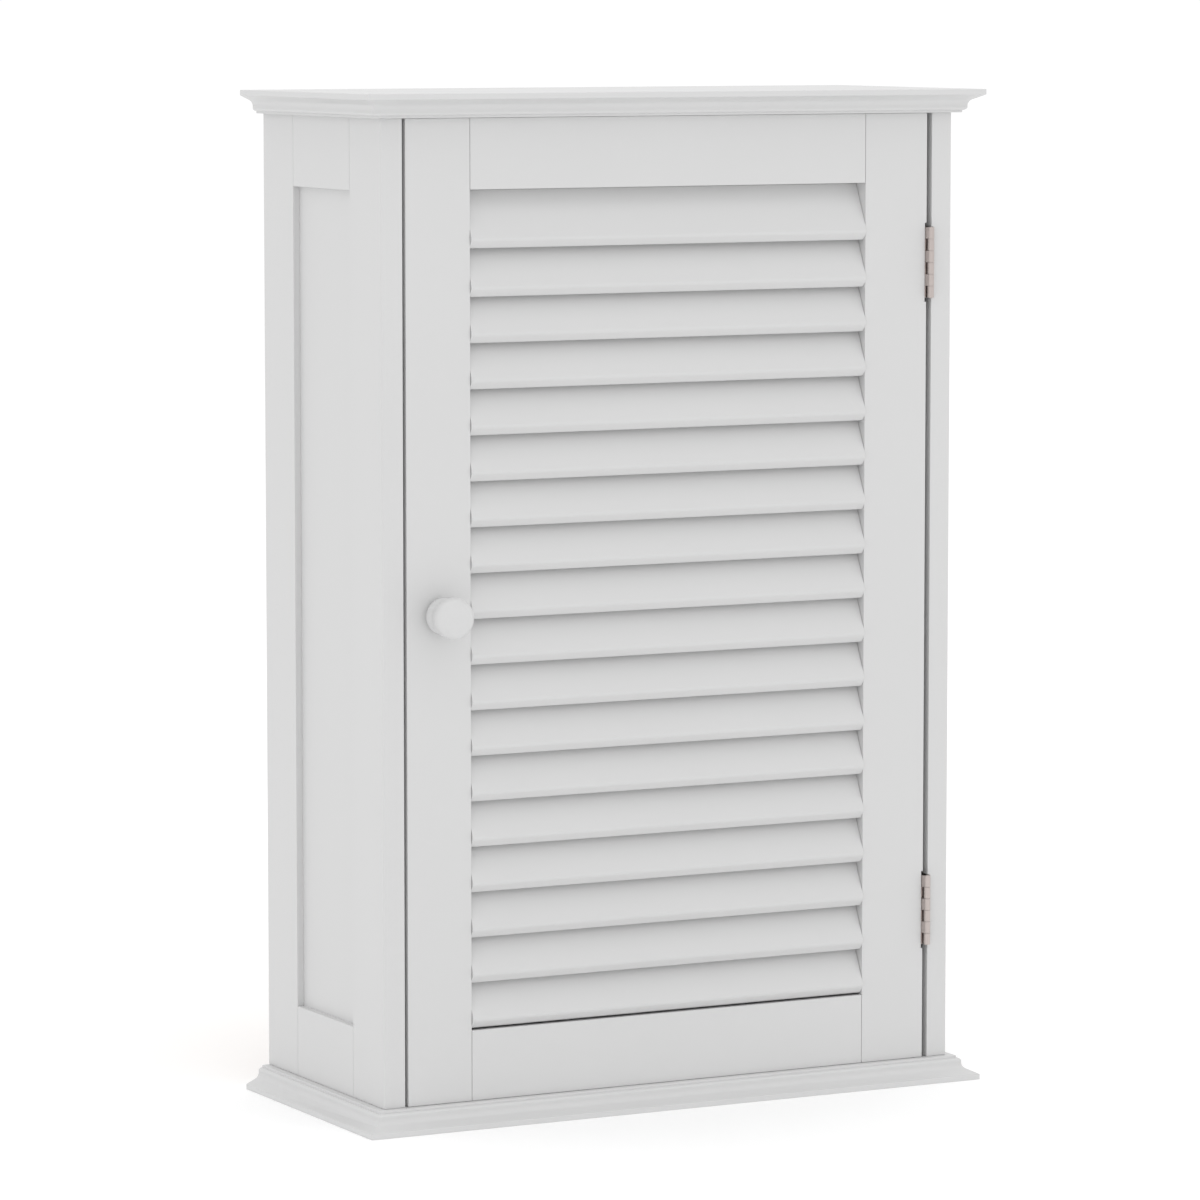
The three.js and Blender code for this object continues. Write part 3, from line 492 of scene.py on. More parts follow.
def combined(bm, tool, operation):
    """Joins a tool to a shape with UNION, or cuts it out with DIFFERENCE."""
    scratch = []
    for shape in (bm, tool):
        mesh = bpy.data.meshes.new("scratch")
        shape.to_mesh(mesh)
        shape.free()
        piece = bpy.data.objects.new("scratch", mesh)
        bpy.context.scene.collection.objects.link(piece)
        scratch.append(piece)
    modifier = scratch[0].modifiers.new("Combine", "BOOLEAN")
    modifier.operation = operation
    modifier.solver = "EXACT"
    modifier.object = scratch[1]
    graph = bpy.context.evaluated_depsgraph_get()
    mesh = bpy.data.meshes.new_from_object(scratch[0].evaluated_get(graph))
    result = bmesh.new()
    result.from_mesh(mesh)
    bpy.data.meshes.remove(mesh)
    for piece in scratch:
        mesh = piece.data
        bpy.data.objects.remove(piece)
        bpy.data.meshes.remove(mesh)
    return result


def cut(bm, tools):
    return combined(bm, gathered(tools), "DIFFERENCE")


def add_piece(bm, name, body, slot, nodes=(), finishes=()):
    """Makes a finished piece of a shape, which rides on a body and stands for CAD nodes. It
    has the finish of its slot, unless it is given finishes of its own."""
    mesh = bpy.data.meshes.new(name)
    bm.to_mesh(mesh)
    bm.free()
    for polygon in mesh.polygons:
        polygon.use_smooth = True
    mesh.set_sharp_from_angle(angle=SHARP)
    for made in finishes or [FINISHES[slot]]:
        mesh.materials.append(made())
    piece = bpy.data.objects.new(name, mesh)
    bpy.context.scene.collection.objects.link(piece)
    shading = piece.modifiers.new("Even shading", "WEIGHTED_NORMAL")
    shading.keep_sharp = True
    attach(piece, body)
    if nodes:
        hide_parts(*nodes)
    return piece


def add_board(bm, node, body):
    """Makes a lacquered piece that stands for one CAD node."""
    return add_piece(bm, f"{node}_lacquered", body, "white_paint", [node])


def middle(node):
    low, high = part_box(node)
    return (low + high) / 2


# Screws

# Share of a screw's length that its tip takes
SCREW_TIP_SHARE = 0.25

# Half the width of a cross recess's arm, as a share of the arm's reach
RECESS_ARM_SHARE = 0.25

# Reach of a cross recess, as a share of the radius of a countersunk and of a pan head
COUNTERSUNK_RECESS_SHARE = 0.6
PAN_RECESS_SHARE = 0.55

# Depth of a cross recess, as a share of the height of a pan head
PAN_RECESS_DEPTH_SHARE = 0.6

# Width of a cross recess at its bottom, as a share of that at its top
RECESS_NARROWING = 0.45

# How far the cutter of a cross recess runs past the head
RECESS_OVERRUN = 0.5 * MM


def screw_profile(sizes, play):
    tip = sizes.screw_length * SCREW_TIP_SHARE
    return [
        (sizes.screw_head + play, 0),
        (sizes.screw_shank + play, sizes.screw_sink),
        (sizes.screw_shank + play, sizes.screw_length - tip + play),
        (0, sizes.screw_length + play),
    ]


def screw_holes(sizes, places, direction):
    """What countersunk screws need, with room around them and open in front of their heads."""
    play = sizes.groove_fit
    profile = [
        (0, -OVERRUN), (sizes.screw_head + play, -OVERRUN), *screw_profile(sizes, play),
    ]
    return [turned(profile, direction, place, HOLE_STEPS) for place in places]


def cross_recess(reach, depth, place, direction):
    """A cutter for a cross recess, which narrows towards its bottom."""
    half = reach * RECESS_ARM_SHARE
    corners = [
        (half, half), (half, reach), (-half, reach), (-half, half), (-reach, half),
        (-reach, -half), (-half, -half), (-half, -reach), (half, -reach), (half, -half),
        (reach, -half), (reach, half),
    ]
    bm = solid_outline([(a, b, 0) for a, b in corners], "z", -RECESS_OVERRUN, depth)
    deep = [vert for vert in bm.verts if vert.co.z > 0]
    narrow = (RECESS_NARROWING, RECESS_NARROWING, 1)
    bmesh.ops.scale(bm, vec=narrow, verts=deep)
    bmesh.ops.transform(bm, matrix=facing(direction, place), verts=bm.verts)
    return bm


def countersunk_screws(sizes, places, direction):
    """Screws with a flat head and a cross recess, as one shape."""
    rim = 0.12 * MM
    bend = 0.04 * MM
    profile = [
        (0, 0), (sizes.screw_head - rim, 0), (sizes.screw_head - bend, bend),
        (sizes.screw_head - rim, rim), *screw_profile(sizes, 0)[1:],
    ]
    reach = sizes.screw_head * COUNTERSUNK_RECESS_SHARE
    return gathered(
        cut(
            turned(profile, direction, place, HOLE_STEPS),
            [cross_recess(reach, sizes.screw_sink, place, direction)],
        )
        for place in places
    )


def leaf_box(hinge, side):
    """The box of a leaf. The side is -1 on the door and 1 on the post."""
    leaf = "door" if side < 0 else "frame"
    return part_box(f"{hinge}_hinge_{leaf}_leaf")


def leaf_face(side):
    """The x coordinate of a leaf's bare face, which is flush with the wood's edge."""
    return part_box("door_hinge_stile")[1].x if side < 0 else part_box("right_front_stile")[0].x


def leaf_screw_places(sizes, hinge, side):
    """The heads of the two screws of one leaf."""
    pin = middle(f"{hinge}_hinge_pin")
    low, high = leaf_box(hinge, side)
    reach = (high.z - low.z) / 2 - sizes.leaf_screw_inset
    face = leaf_face(side)
    level = (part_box("door_hinge_stile")[0].y + high.y) / 2
    return [Vector((face, level, pin.z - reach)), Vector((face, level, pin.z + reach))]


def hinge_screw_places(sizes, side):
    return [place for hinge in HINGES for place in leaf_screw_places(sizes, hinge, side)]


def hanger_screw_places(hanger):
    """The heads of the two screws of one hanger, in its back face."""
    inset = 4.5 * MM
    low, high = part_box(hanger)
    x = (low.x + high.x) / 2
    return [Vector((x, high.y, low.z + inset)), Vector((x, high.y, high.z - inset))]


def screw_head(node):
    """The middle of the head of a screw that points up."""
    centre = middle(node)
    centre.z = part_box(node)[0].z
    return centre


def strike_screw_head():
    """The middle of the head of the strike's screw, which is behind the door."""
    centre = middle("strike_screw")
    return Vector((centre.x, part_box("strike_screw")[1].y, centre.z))


# Boards


def moulding(sizes, thickness):
    """Points of (overhang, height) from the sides of the cabinet out to the board's edge: a
    lip, a bead, a short upright, a hollow that runs out in a slope, and an upright fillet."""
    points = [(sizes.lip_overhang, 0)]
    swell = sizes.bead_overhang - sizes.lip_overhang
    bead_top = sizes.lip_height + sizes.bead_height
    for angle in arc(math.pi / 2):
        height = bead_top - sizes.bead_height * math.cos(angle)
        points.append((sizes.lip_overhang + swell * math.sin(angle), height))
    for angle in arc(sizes.hollow_turn):
        across = sizes.bead_overhang + sizes.hollow_radius * (1 - math.cos(angle))
        height = bead_top + sizes.listel_height + sizes.hollow_radius * math.sin(angle)
        points.append((across, height))
    points.append((sizes.board_overhang, thickness - sizes.fillet_height))
    points.append((sizes.board_overhang, thickness))
    return points


def moulded_board(node, outward, sizes):
    """Grows a board from the face that meets the sides, one step of its moulding at a time."""
    low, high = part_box(node)
    near = low.z if outward > 0 else high.z
    half = high.x - sizes.board_overhang
    front = low.y + sizes.board_overhang
    thickness = high.z - low.z
    halfway = (front + high.y) / 2
    bm = bmesh.new()
    corners = [(-half, front), (half, front), (half, high.y), (-half, high.y)]
    face = bm.faces.new([bm.verts.new((x, y, near)) for x, y in corners])
    for step, (overhang, height) in enumerate(moulding(sizes, thickness)):
        if step:
            grown = bmesh.ops.extrude_face_region(bm, geom=[face])["geom"]
            if step > 1:
                bmesh.ops.delete(bm, geom=[face], context="FACES_ONLY")
            face = next(item for item in grown if isinstance(item, bmesh.types.BMFace))
        for vert in face.verts:
            vert.co.x = math.copysign(half + overhang, vert.co.x)
            vert.co.y = front - overhang if vert.co.y < halfway else high.y
            vert.co.z = near + outward * height
    bmesh.ops.recalc_face_normals(bm, faces=bm.faces)
    return soften(bm, sizes.soft_edge, segments=3)


class CABINET_OT_boards(bpy.types.Operator):
    """Makes the moulded boards above and below the cabinet"""

    bl_idname = "cabinet.boards"
    bl_label = "Moulded Boards"

    def execute(self, context):
        sizes = context.scene.cabinet_sizes
        heads = [screw_head(node) for node in CATCH_SCREWS]
        top = cut(moulded_board("top_board", 1, sizes), screw_holes(sizes, heads, UPWARDS))
        add_board(top, "top_board", CABINET)
        add_board(moulded_board("base_board", -1, sizes), "base_board", CABINET)
        return {"FINISHED"}


# Framed sides


def groove(side, lip, inwards, span, sizes, along):
    """A cutter for the groove that holds a side's panel. It starts at lip, runs inwards, and
    lies along y or z. The paint nearly fills the joint on the outside."""
    low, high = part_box(f"{side}_panel")
    plays = [sizes.painted_fit, sizes.groove_fit]
    if side == "right":
        plays.reverse()
    depth = sorted((lip - inwards * OVERRUN, lip + inwards * sizes.groove_depth))
    ends = [span[0] - OVERRUN, span[1] + OVERRUN]
    (y0, y1), (z0, z1) = (ends, depth) if along == "y" else (depth, ends)
    return block((low.x - plays[0], y0, z0), (high.x + plays[1], y1, z1))


def pin_holes(side, row, sizes):
    """The holes of one row of shelf pins: the pin's own and two spare ones above and below."""
    pin = middle(f"shelf_pin_{side}_{row}")
    hand = -1 if side == "left" else 1
    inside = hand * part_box("right_front_stile")[0].x
    holes = []
    for step in range(-SPARE_HOLES, SPARE_HOLES + 1):
        start = Vector((inside - hand * OVERRUN, pin.y, pin.z + step * sizes.pin_hole_spacing))
        end = start + Vector((hand * (OVERRUN + sizes.pin_hole_depth), 0, 0))
        holes.append(rod(sizes.pin_hole_radius, start, end))
    return holes


def hinge_mortise(hinge, low_x, high_x, slack, sizes):
    """A shallow pocket for one hinge leaf, open in front."""
    low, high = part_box(f"{hinge}_hinge_frame_leaf")
    play = sizes.mortise_fit
    return block(
        (low_x, low.y - OVERRUN, low.z - slack), (high_x, high.y + play, high.z + slack)
    )


def front_post(side, sizes):
    low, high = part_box(f"{side}_front_stile")
    radii = (sizes.post_radius, 0) if side == "left" else (0, sizes.post_radius)
    corners = [
        (low.x, low.y, radii[0]), (high.x, low.y, radii[1]), (high.x, high.y, 0),
        (low.x, high.y, 0),
    ]
    post = soften(solid_outline(corners, "z", low.z, high.z), sizes.soft_edge)
    holes = [groove(side, high.y, -1, (low.z, high.z), sizes, "z")]
    holes += pin_holes(side, "front", sizes)
    if side == "right":
        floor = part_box("upper_hinge_frame_leaf")[1].x + sizes.leaf_bed
        for hinge in HINGES:
            holes.append(hinge_mortise(hinge, low.x - OVERRUN, floor, sizes.mortise_fit, sizes))
        post = cut(post, screw_holes(sizes, hinge_screw_places(sizes, 1), (1, 0, 0)))
    return cut(post, holes)


def back_post(side, sizes):
    low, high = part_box(f"{side}_back_stile")
    panel_low, panel_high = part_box("back_panel")
    rebate = panel_low.y - sizes.groove_fit
    lap = panel_high.x + sizes.groove_fit
    span = (-lap, 0) if side == "left" else (0, lap)
    rebate_cut = block(
        (span[0], rebate, low.z - OVERRUN), (span[1], high.y + OVERRUN, high.z + OVERRUN)
    )
    panel_groove = groove(side, low.y, 1, (low.z, high.z), sizes, "z")
    post = soften(block(low, high), sizes.soft_edge)
    return cut(post, [rebate_cut, panel_groove, *pin_holes(side, "back", sizes)])


def side_rail(side, place, sizes):
    """A rail between two posts, with the panel's groove and a tongue at each end."""
    low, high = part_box(f"{side}_{place}_rail")
    tongue_low, tongue_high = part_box(f"{side}_panel")
    shoulder_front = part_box(f"{side}_front_stile")[1].y + sizes.groove_fit
    shoulder_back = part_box(f"{side}_back_stile")[0].y - sizes.groove_fit
    inner, outer = (low.z, high.z) if place == "top" else (high.z, low.z)
    outwards = math.copysign(1, outer - inner)
    floor = inner + outwards * sizes.groove_depth
    rail = soften(
        block((low.x, shoulder_front, low.z), (high.x, shoulder_back, high.z)), sizes.soft_edge
    )
    span = (shoulder_front, shoulder_back)
    rail = cut(rail, [groove(side, inner, outwards, span, sizes, "y")])
    tongue = block(
        (tongue_low.x, low.y, min(floor, outer)), (tongue_high.x, high.y, max(floor, outer))
    )
    return combined(rail, tongue, "UNION")


class CABINET_OT_sides(bpy.types.Operator):
    """Makes the two framed sides"""

    bl_idname = "cabinet.sides"
    bl_label = "Framed Sides"

    def execute(self, context):
        sizes = context.scene.cabinet_sizes
        for side in SIDES:
            add_board(front_post(side, sizes), f"{side}_front_stile", CABINET)
            add_board(back_post(side, sizes), f"{side}_back_stile", CABINET)
            for place in ("top", "bottom"):
                add_board(side_rail(side, place, sizes), f"{side}_{place}_rail", CABINET)
            panel = soften(block(*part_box(f"{side}_panel")), sizes.soft_edge)
            add_board(panel, f"{side}_panel", CABINET)
        return {"FINISHED"}


# Back and shelf


def keyhole(node):
    """The outline of a keyhole: a round mouth with a narrower slot above it."""
    mouth = 4.4 * MM
    slot = 2.2 * MM
    slot_length = 9 * MM
    centre = middle(node)
    below = centre.z - slot_length / 2
    above = centre.z + slot_length / 2
    gap = math.asin(slot / mouth)
    around = [(mouth, below, gap + turn) for turn in arc(math.tau - 2 * gap, BARREL_STEPS)]
    around += [(slot, above, turn - math.pi / 2) for turn in arc(math.pi, HOLE_STEPS // 2)]
    return [
        (centre.x + radius * math.sin(angle), level + radius * math.cos(angle), 0)
        for radius, level, angle in around
    ]


def keyhole_box(node):
    """The lowest and the highest corner of a keyhole, in the middle of its plate."""
    across, up, _ = zip(*keyhole(node))
    level = middle(node).y
    return Vector((min(across), level, min(up))), Vector((max(across), level, max(up)))


def hanging_rail(sizes):
    """A rail whose back is flush with the posts, with a rebate for the back panel."""
    pocket_depth = 7 * MM
    pocket_margin = 2 * MM
    bed = 0.1 * MM
    low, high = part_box("hanging_rail")
    panel_low, panel_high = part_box("back_panel")
    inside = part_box("right_front_stile")[0].x - sizes.groove_fit
    lap = panel_low.y - sizes.groove_fit
    tongue = panel_high.z + sizes.groove_fit
    rebate = block(
        (low.x - OVERRUN, lap, low.z - OVERRUN), (high.x + OVERRUN, high.y + OVERRUN, tongue)
    )
    rail = cut(block(low, high), [rebate])
    front = low.y - OVERRUN
    top = high.z + OVERRUN
    ends = [
        block((low.x - OVERRUN, front, low.z - OVERRUN), (-inside, panel_low.y, top)),
        block((inside, front, low.z - OVERRUN), (high.x + OVERRUN, panel_low.y, top)),
    ]
    rail = soften(cut(rail, ends), sizes.soft_edge)
    for node in HANGERS:
        plate_low, plate_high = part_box(node)
        margin = Vector((1, 0, 1)) * sizes.mortise_fit
        recess = block(
            plate_low - margin - Vector((0, bed, 0)),
            plate_high + margin + Vector((0, OVERRUN, 0)),
        )
        mouth_low, mouth_high = keyhole_box(node)
        pocket = block(
            (mouth_low.x - pocket_margin, high.y - pocket_depth, mouth_low.z),
            (mouth_high.x + pocket_margin, high.y, mouth_high.z + pocket_margin),
        )
        holes = screw_holes(sizes, hanger_screw_places(node), FORWARDS)
        for cutters in ([pocket], [recess], holes):
            rail = cut(rail, cutters)
    return rail


class CABINET_OT_back(bpy.types.Operator):
    """Makes the back panel with its nails, and the rail that the cabinet hangs by"""

    bl_idname = "cabinet.back"
    bl_label = "Back and Hanging Rail"

    def execute(self, context):
        sizes = context.scene.cabinet_sizes
        bare_share = 1 / 3
        low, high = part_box("back_panel")
        nails, dimples = back_nails(low, high)
        panel = cut(soften(block(low, high), sizes.pressed_edge), dimples)
        bare_from = high.y - (high.y - low.y) * bare_share
        for face in panel.faces:
            face.material_index = int(face.calc_center_median().y > bare_from)
        add_piece(
            panel, "back_panel_hardboard", CABINET, "white_paint", ["back_panel"],
            [lacquer, hardboard],
        )
        add_board(hanging_rail(sizes), "hanging_rail", CABINET)
        add_piece(gathered(nails), "back_panel_nails", CABINET, "zinc_steel")
        return {"FINISHED"}


def middles(low, high, count):
    """The middles of equal parts of a length."""
    return [low + (high - low) * ((part + 0.5) / count) for part in range(count)]


def back_nails(low, high):
    """Flat headed nails along the two upright edges and the top of the back panel, and cutters
    for the dimples that their heads press in it."""
    head_radius = 1.6 * MM
    head = 0.25 * MM
    dimple_radius = 2.1 * MM
    sink = 0.15 * MM
    shank_radius = 0.6 * MM
    shank = 11 * MM
    inset = 3 * MM
    rows = 7
    columns = 4
    nail = [
        (0, sink), (head_radius - head / 2, sink), (head_radius, sink + head / 2),
        (head_radius, sink + head), (shank_radius, sink + head), (shank_radius, shank - head),
        (0, shank),
    ]
    dimple = [
        (0, -OVERRUN), (dimple_radius, -OVERRUN), (dimple_radius, 0), (head_radius, sink),
        (head_radius, sink + head), (0, sink + head),
    ]
    edges = (low.x + inset, high.x - inset)
    places = [(x, z) for x in edges for z in middles(low.z, high.z, rows)]
    places += [(x, high.z - inset) for x in middles(low.x, high.x, columns)]
    return [
        [turned(profile, FORWARDS, (x, high.y, z), HOLE_STEPS // 2) for x, z in places]
        for profile in (nail, dimple)
    ]


def shelf_pin(node):
    """A turned pin: a shank in the side, a collar against it and a head under the shelf."""
    collar_radius = 3.6 * MM
    collar = 1 * MM
    head_radius = 2.8 * MM
    head_length = 6.5 * MM
    shank_radius = 2.35 * MM
    rim = 0.3 * MM
    low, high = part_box(node)
    tip = middle(node)
    tip.x = high.x if "left" in node else low.x
    direction = (-1, 0, 0) if "left" in node else (1, 0, 0)
    whole = high.x - low.x
    profile = [
        (0, 0), (head_radius - rim, 0), (head_radius, rim), (head_radius, head_length),
        (collar_radius - rim / 2, head_length), (collar_radius, head_length + rim / 2),
        (collar_radius, head_length + collar), (shank_radius, head_length + collar),
        (shank_radius, whole - rim), (shank_radius - rim, whole), (0, whole),
    ]
    return turned(profile, direction, tip, HOLE_STEPS)


class CABINET_OT_shelf(bpy.types.Operator):
    """Makes the shelf and its four pins"""

    bl_idname = "cabinet.shelf"
    bl_label = "Shelf"

    def execute(self, context):
        rounding = 0.8 * MM
        add_board(soften(block(*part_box("shelf")), rounding, segments=4), "shelf", CABINET)
        for side in SIDES:
            for row in ("front", "back"):
                node = f"shelf_pin_{side}_{row}"
                add_piece(shelf_pin(node), f"{node}_turned", CABINET, "zinc_steel", [node])
        return {"FINISHED"}


# Door


def slat_spot(sizes, up, through):
    """A point of a slat's section, from its nose, as (y, z)."""
    tilt = sizes.slat_tilt
    return (
        up * math.sin(tilt) + through * math.cos(tilt),
        up * math.cos(tilt) - through * math.sin(tilt),
    )


def slat_width(sizes):
    """A slat's width up its slope, so that it stays inside the door's back."""
    door_low, door_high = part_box("door_top_rail")
    depth = door_high.y - door_low.y + sizes.slat_proud - sizes.slat_setback
    return (depth - sizes.slat_thickness * math.cos(sizes.slat_tilt)) / math.sin(sizes.slat_tilt)


def slat_section(sizes):
    width = slat_width(sizes)
    corners = [
        (0, 0, sizes.slat_nose), (-sizes.slat_bevel, sizes.slat_thickness, sizes.slat_heel),
        (width, sizes.slat_thickness, sizes.slat_top), (width, 0, sizes.slat_top),
    ]
    return [(*slat_spot(sizes, up, through), radius) for up, through, radius in corners]


def tenon_section(sizes, margin):
    """A slat's tenon, which starts far enough up the slope to leave wood in front of it."""
    through = (sizes.slat_thickness - sizes.tenon_thickness) / 2
    covered = sizes.tenon_cover + sizes.slat_proud - through * math.cos(sizes.slat_tilt)
    low = covered / math.sin(sizes.slat_tilt) - margin
    high = slat_width(sizes) - sizes.tenon_setback + margin
    near, far = through - margin, through + sizes.tenon_thickness + margin
    corners = [(low, near), (high, near), (high, far), (low, far)]
    return [(*slat_spot(sizes, up, through), 0) for up, through in corners]


def slat_shape(sizes):
    """One slat with a tenon at each end, whose nose is on the x axis."""
    end_rounding = 0.2 * MM
    low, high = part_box("louvre_slat_01")
    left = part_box("door_latch_stile")[1].x + sizes.slat_end_gap
    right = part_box("door_hinge_stile")[0].x - sizes.slat_end_gap
    body = soften(solid_outline(slat_section(sizes), "x", left, right), end_rounding)
    tenon = solid_outline(tenon_section(sizes, 0), "x", low.x, high.x)
    return combined(body, tenon, "UNION")


def slat_levels(sizes):
    """Each slat's node, with the y and the z of its nose."""
    master = slat_shape(sizes)
    lowest = min(vert.co.z for vert in master.verts)
    master.free()
    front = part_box("door_top_rail")[0].y - sizes.slat_proud
    nodes = sorted(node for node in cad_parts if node.startswith("louvre_slat_"))
    return [(node, front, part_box(node)[0].z - lowest) for node in nodes]


class CABINET_OT_slats(bpy.types.Operator):
    """Makes the louvre slats"""

    bl_idname = "cabinet.slats"
    bl_label = "Louvre Slats"

    def execute(self, context):
        sizes = context.scene.cabinet_sizes
        master = slat_shape(sizes)
        for node, front, level in slat_levels(sizes):
            slat = master.copy()
            bmesh.ops.translate(slat, vec=Vector((0, front, level)), verts=slat.verts)
            add_board(slat, node, DOOR)
        master.free()
        return {"FINISHED"}


def rail_tenon(node, left, right, margin, sizes):
    """The tenon of a door rail, with a margin around it where it is a cutter."""
    low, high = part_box(node)
    centre = (low.y + high.y) / 2
    half = sizes.rail_tenon / 2 + margin
    shoulder = sizes.rail_tenon_shoulder - margin
    return block(
        (left, centre - half, low.z + shoulder), (right, centre + half, high.z - shoulder)
    )


def stile_mortises(inner, outward, sizes):
    """Cutters for the slats' and the rails' tenons. outward is -1 in the latch stile."""
    fit = sizes.mortise_fit

    def span(node):
        low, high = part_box(node)
        end = (low.x if outward < 0 else high.x) + outward * fit
        return sorted((inner - outward * OVERRUN, end))

    cutters = []
    left, right = span("louvre_slat_01")
    for _, front, level in slat_levels(sizes):
        section = [(y + front, z + level, 0) for y, z, _ in tenon_section(sizes, fit)]
        cutters.append(solid_outline(section, "x", left, right))
    cutters += [rail_tenon(node, *span(node), fit, sizes) for node in DOOR_RAILS]
    return cutters


def latch_stile(sizes):
    low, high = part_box("door_latch_stile")
    stile = soften(block(low, high), sizes.soft_edge)
    knob = middle("knob_screw")
    hole = rod(
        sizes.knob_bore, (knob.x, low.y - OVERRUN, knob.z), (knob.x, high.y + OVERRUN, knob.z)
    )
    strike = screw_holes(sizes, [strike_screw_head()], FORWARDS)
    return cut(stile, [*stile_mortises(high.x, -1, sizes), hole, *strike])


def hinge_stile(sizes):
    low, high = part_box("door_hinge_stile")
    stile = soften(block(low, high), sizes.soft_edge)
    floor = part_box("upper_hinge_door_leaf")[0].x - sizes.leaf_bed
    slack = sizes.door_mortise_slack
    pockets = [hinge_mortise(hinge, floor, high.x + OVERRUN, slack, sizes) for hinge in HINGES]
    holes = screw_holes(sizes, hinge_screw_places(sizes, -1), (-1, 0, 0))
    return cut(cut(stile, [*stile_mortises(low.x, 1, sizes), *holes]), pockets)


def door_rail(node, sizes):
    low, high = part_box(node)
    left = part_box("door_latch_stile")[1].x + sizes.shoulder_gap
    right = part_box("door_hinge_stile")[0].x - sizes.shoulder_gap
    body = soften(block((left, low.y, low.z), (right, high.y, high.z)), sizes.soft_edge)
    return combined(body, rail_tenon(node, low.x, high.x, 0, sizes), "UNION")


class CABINET_OT_door_frame(bpy.types.Operator):
    """Makes the two stiles and the two rails of the door"""

    bl_idname = "cabinet.door_frame"
    bl_label = "Door Frame"

    def execute(self, context):
        sizes = context.scene.cabinet_sizes
        add_board(latch_stile(sizes), "door_latch_stile", DOOR)
        add_board(hinge_stile(sizes), "door_hinge_stile", DOOR)
        for node in DOOR_RAILS:
            add_board(door_rail(node, sizes), node, DOOR)
        return {"FINISHED"}


# Knob


def knob_profile(sizes, projection, radius):
    """Points of (radius, distance from the door), from the crown back to the foot."""
    edge = sizes.knob_edge
    rim = projection - sizes.knob_face_rise - edge
    points = []
    for step in range(COVE_STEPS):
        share = step / COVE_STEPS
        points.append(((radius - edge) * share, projection - sizes.knob_face_rise * share ** 2))
    for angle in arc(math.pi / 2):
        points.append((radius - edge * (1 - math.sin(angle)), rim + edge * math.cos(angle)))
    waist = [
        (radius, sizes.knob_head_back), (sizes.knob_neck_radius, sizes.knob_neck),
        (sizes.knob_shoulder_radius, sizes.knob_shoulder),
    ]
    points.append(waist[0])
    for (radius0, level0), (radius1, level1) in zip(waist, waist[1:]):
        for step in range(1, COVE_STEPS + 1):
            share = step / COVE_STEPS
            ease = (1 - math.cos(math.pi * share)) / 2
            level = level0 + (level1 - level0) * share
            points.append((radius0 + (radius1 - radius0) * ease, level))
    swell = sizes.knob_shoulder_radius - sizes.knob_foot_radius
    drop = sizes.knob_shoulder - sizes.knob_foot
    for angle in arc(math.pi / 2)[1:]:
        across = sizes.knob_foot_radius + swell * math.cos(angle)
        points.append((across, sizes.knob_shoulder - drop * math.sin(angle)))
    return points


class CABINET_OT_knob(bpy.types.Operator):
    """Makes the turned knob and its screw"""

    bl_idname = "cabinet.knob"
    bl_label = "Knob"

    def execute(self, context):
        sizes = context.scene.cabinet_sizes
        bore_depth = 12 * MM
        low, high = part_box("knob")
        foot = middle("knob")
        foot.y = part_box("door_latch_stile")[0].y
        seat = foot.y - high.y
        profile = [
            *knob_profile(sizes, foot.y - low.y, (high.x - low.x) / 2),
            (sizes.knob_foot_radius, seat), (sizes.knob_bore, seat),
            (sizes.knob_bore, bore_depth), (0, bore_depth),
        ]
        knob = turned(profile, FORWARDS, foot, KNOB_STEPS)
        add_piece(knob, "knob_turned", DOOR, "white_paint", ["knob"])
        add_piece(knob_screw(), "knob_screw_head", DOOR, "zinc_steel", ["knob_screw"])
        return {"FINISHED"}


def knob_screw():
    """A pan head screw behind the stile, with a cross recess."""
    shank_radius = 1.8 * MM
    head = 2.4 * MM
    low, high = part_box("knob_screw")
    radius = (high.x - low.x) / 2
    place = middle("knob_screw")
    place.y = high.y
    whole = high.y - low.y
    profile = [
        (radius * math.sin(angle), head / 2 * (1 - math.cos(angle)))
        for angle in arc(math.pi / 2, ARC_STEPS * 2)
    ]
    profile += [(radius, head), (shank_radius, head), (shank_radius, whole - head), (0, whole)]
    reach, depth = radius * PAN_RECESS_SHARE, head * PAN_RECESS_DEPTH_SHARE
    body = turned(profile, FORWARDS, place, HOLE_STEPS)
    return cut(body, [cross_recess(reach, depth, place, FORWARDS)])


# Hinges


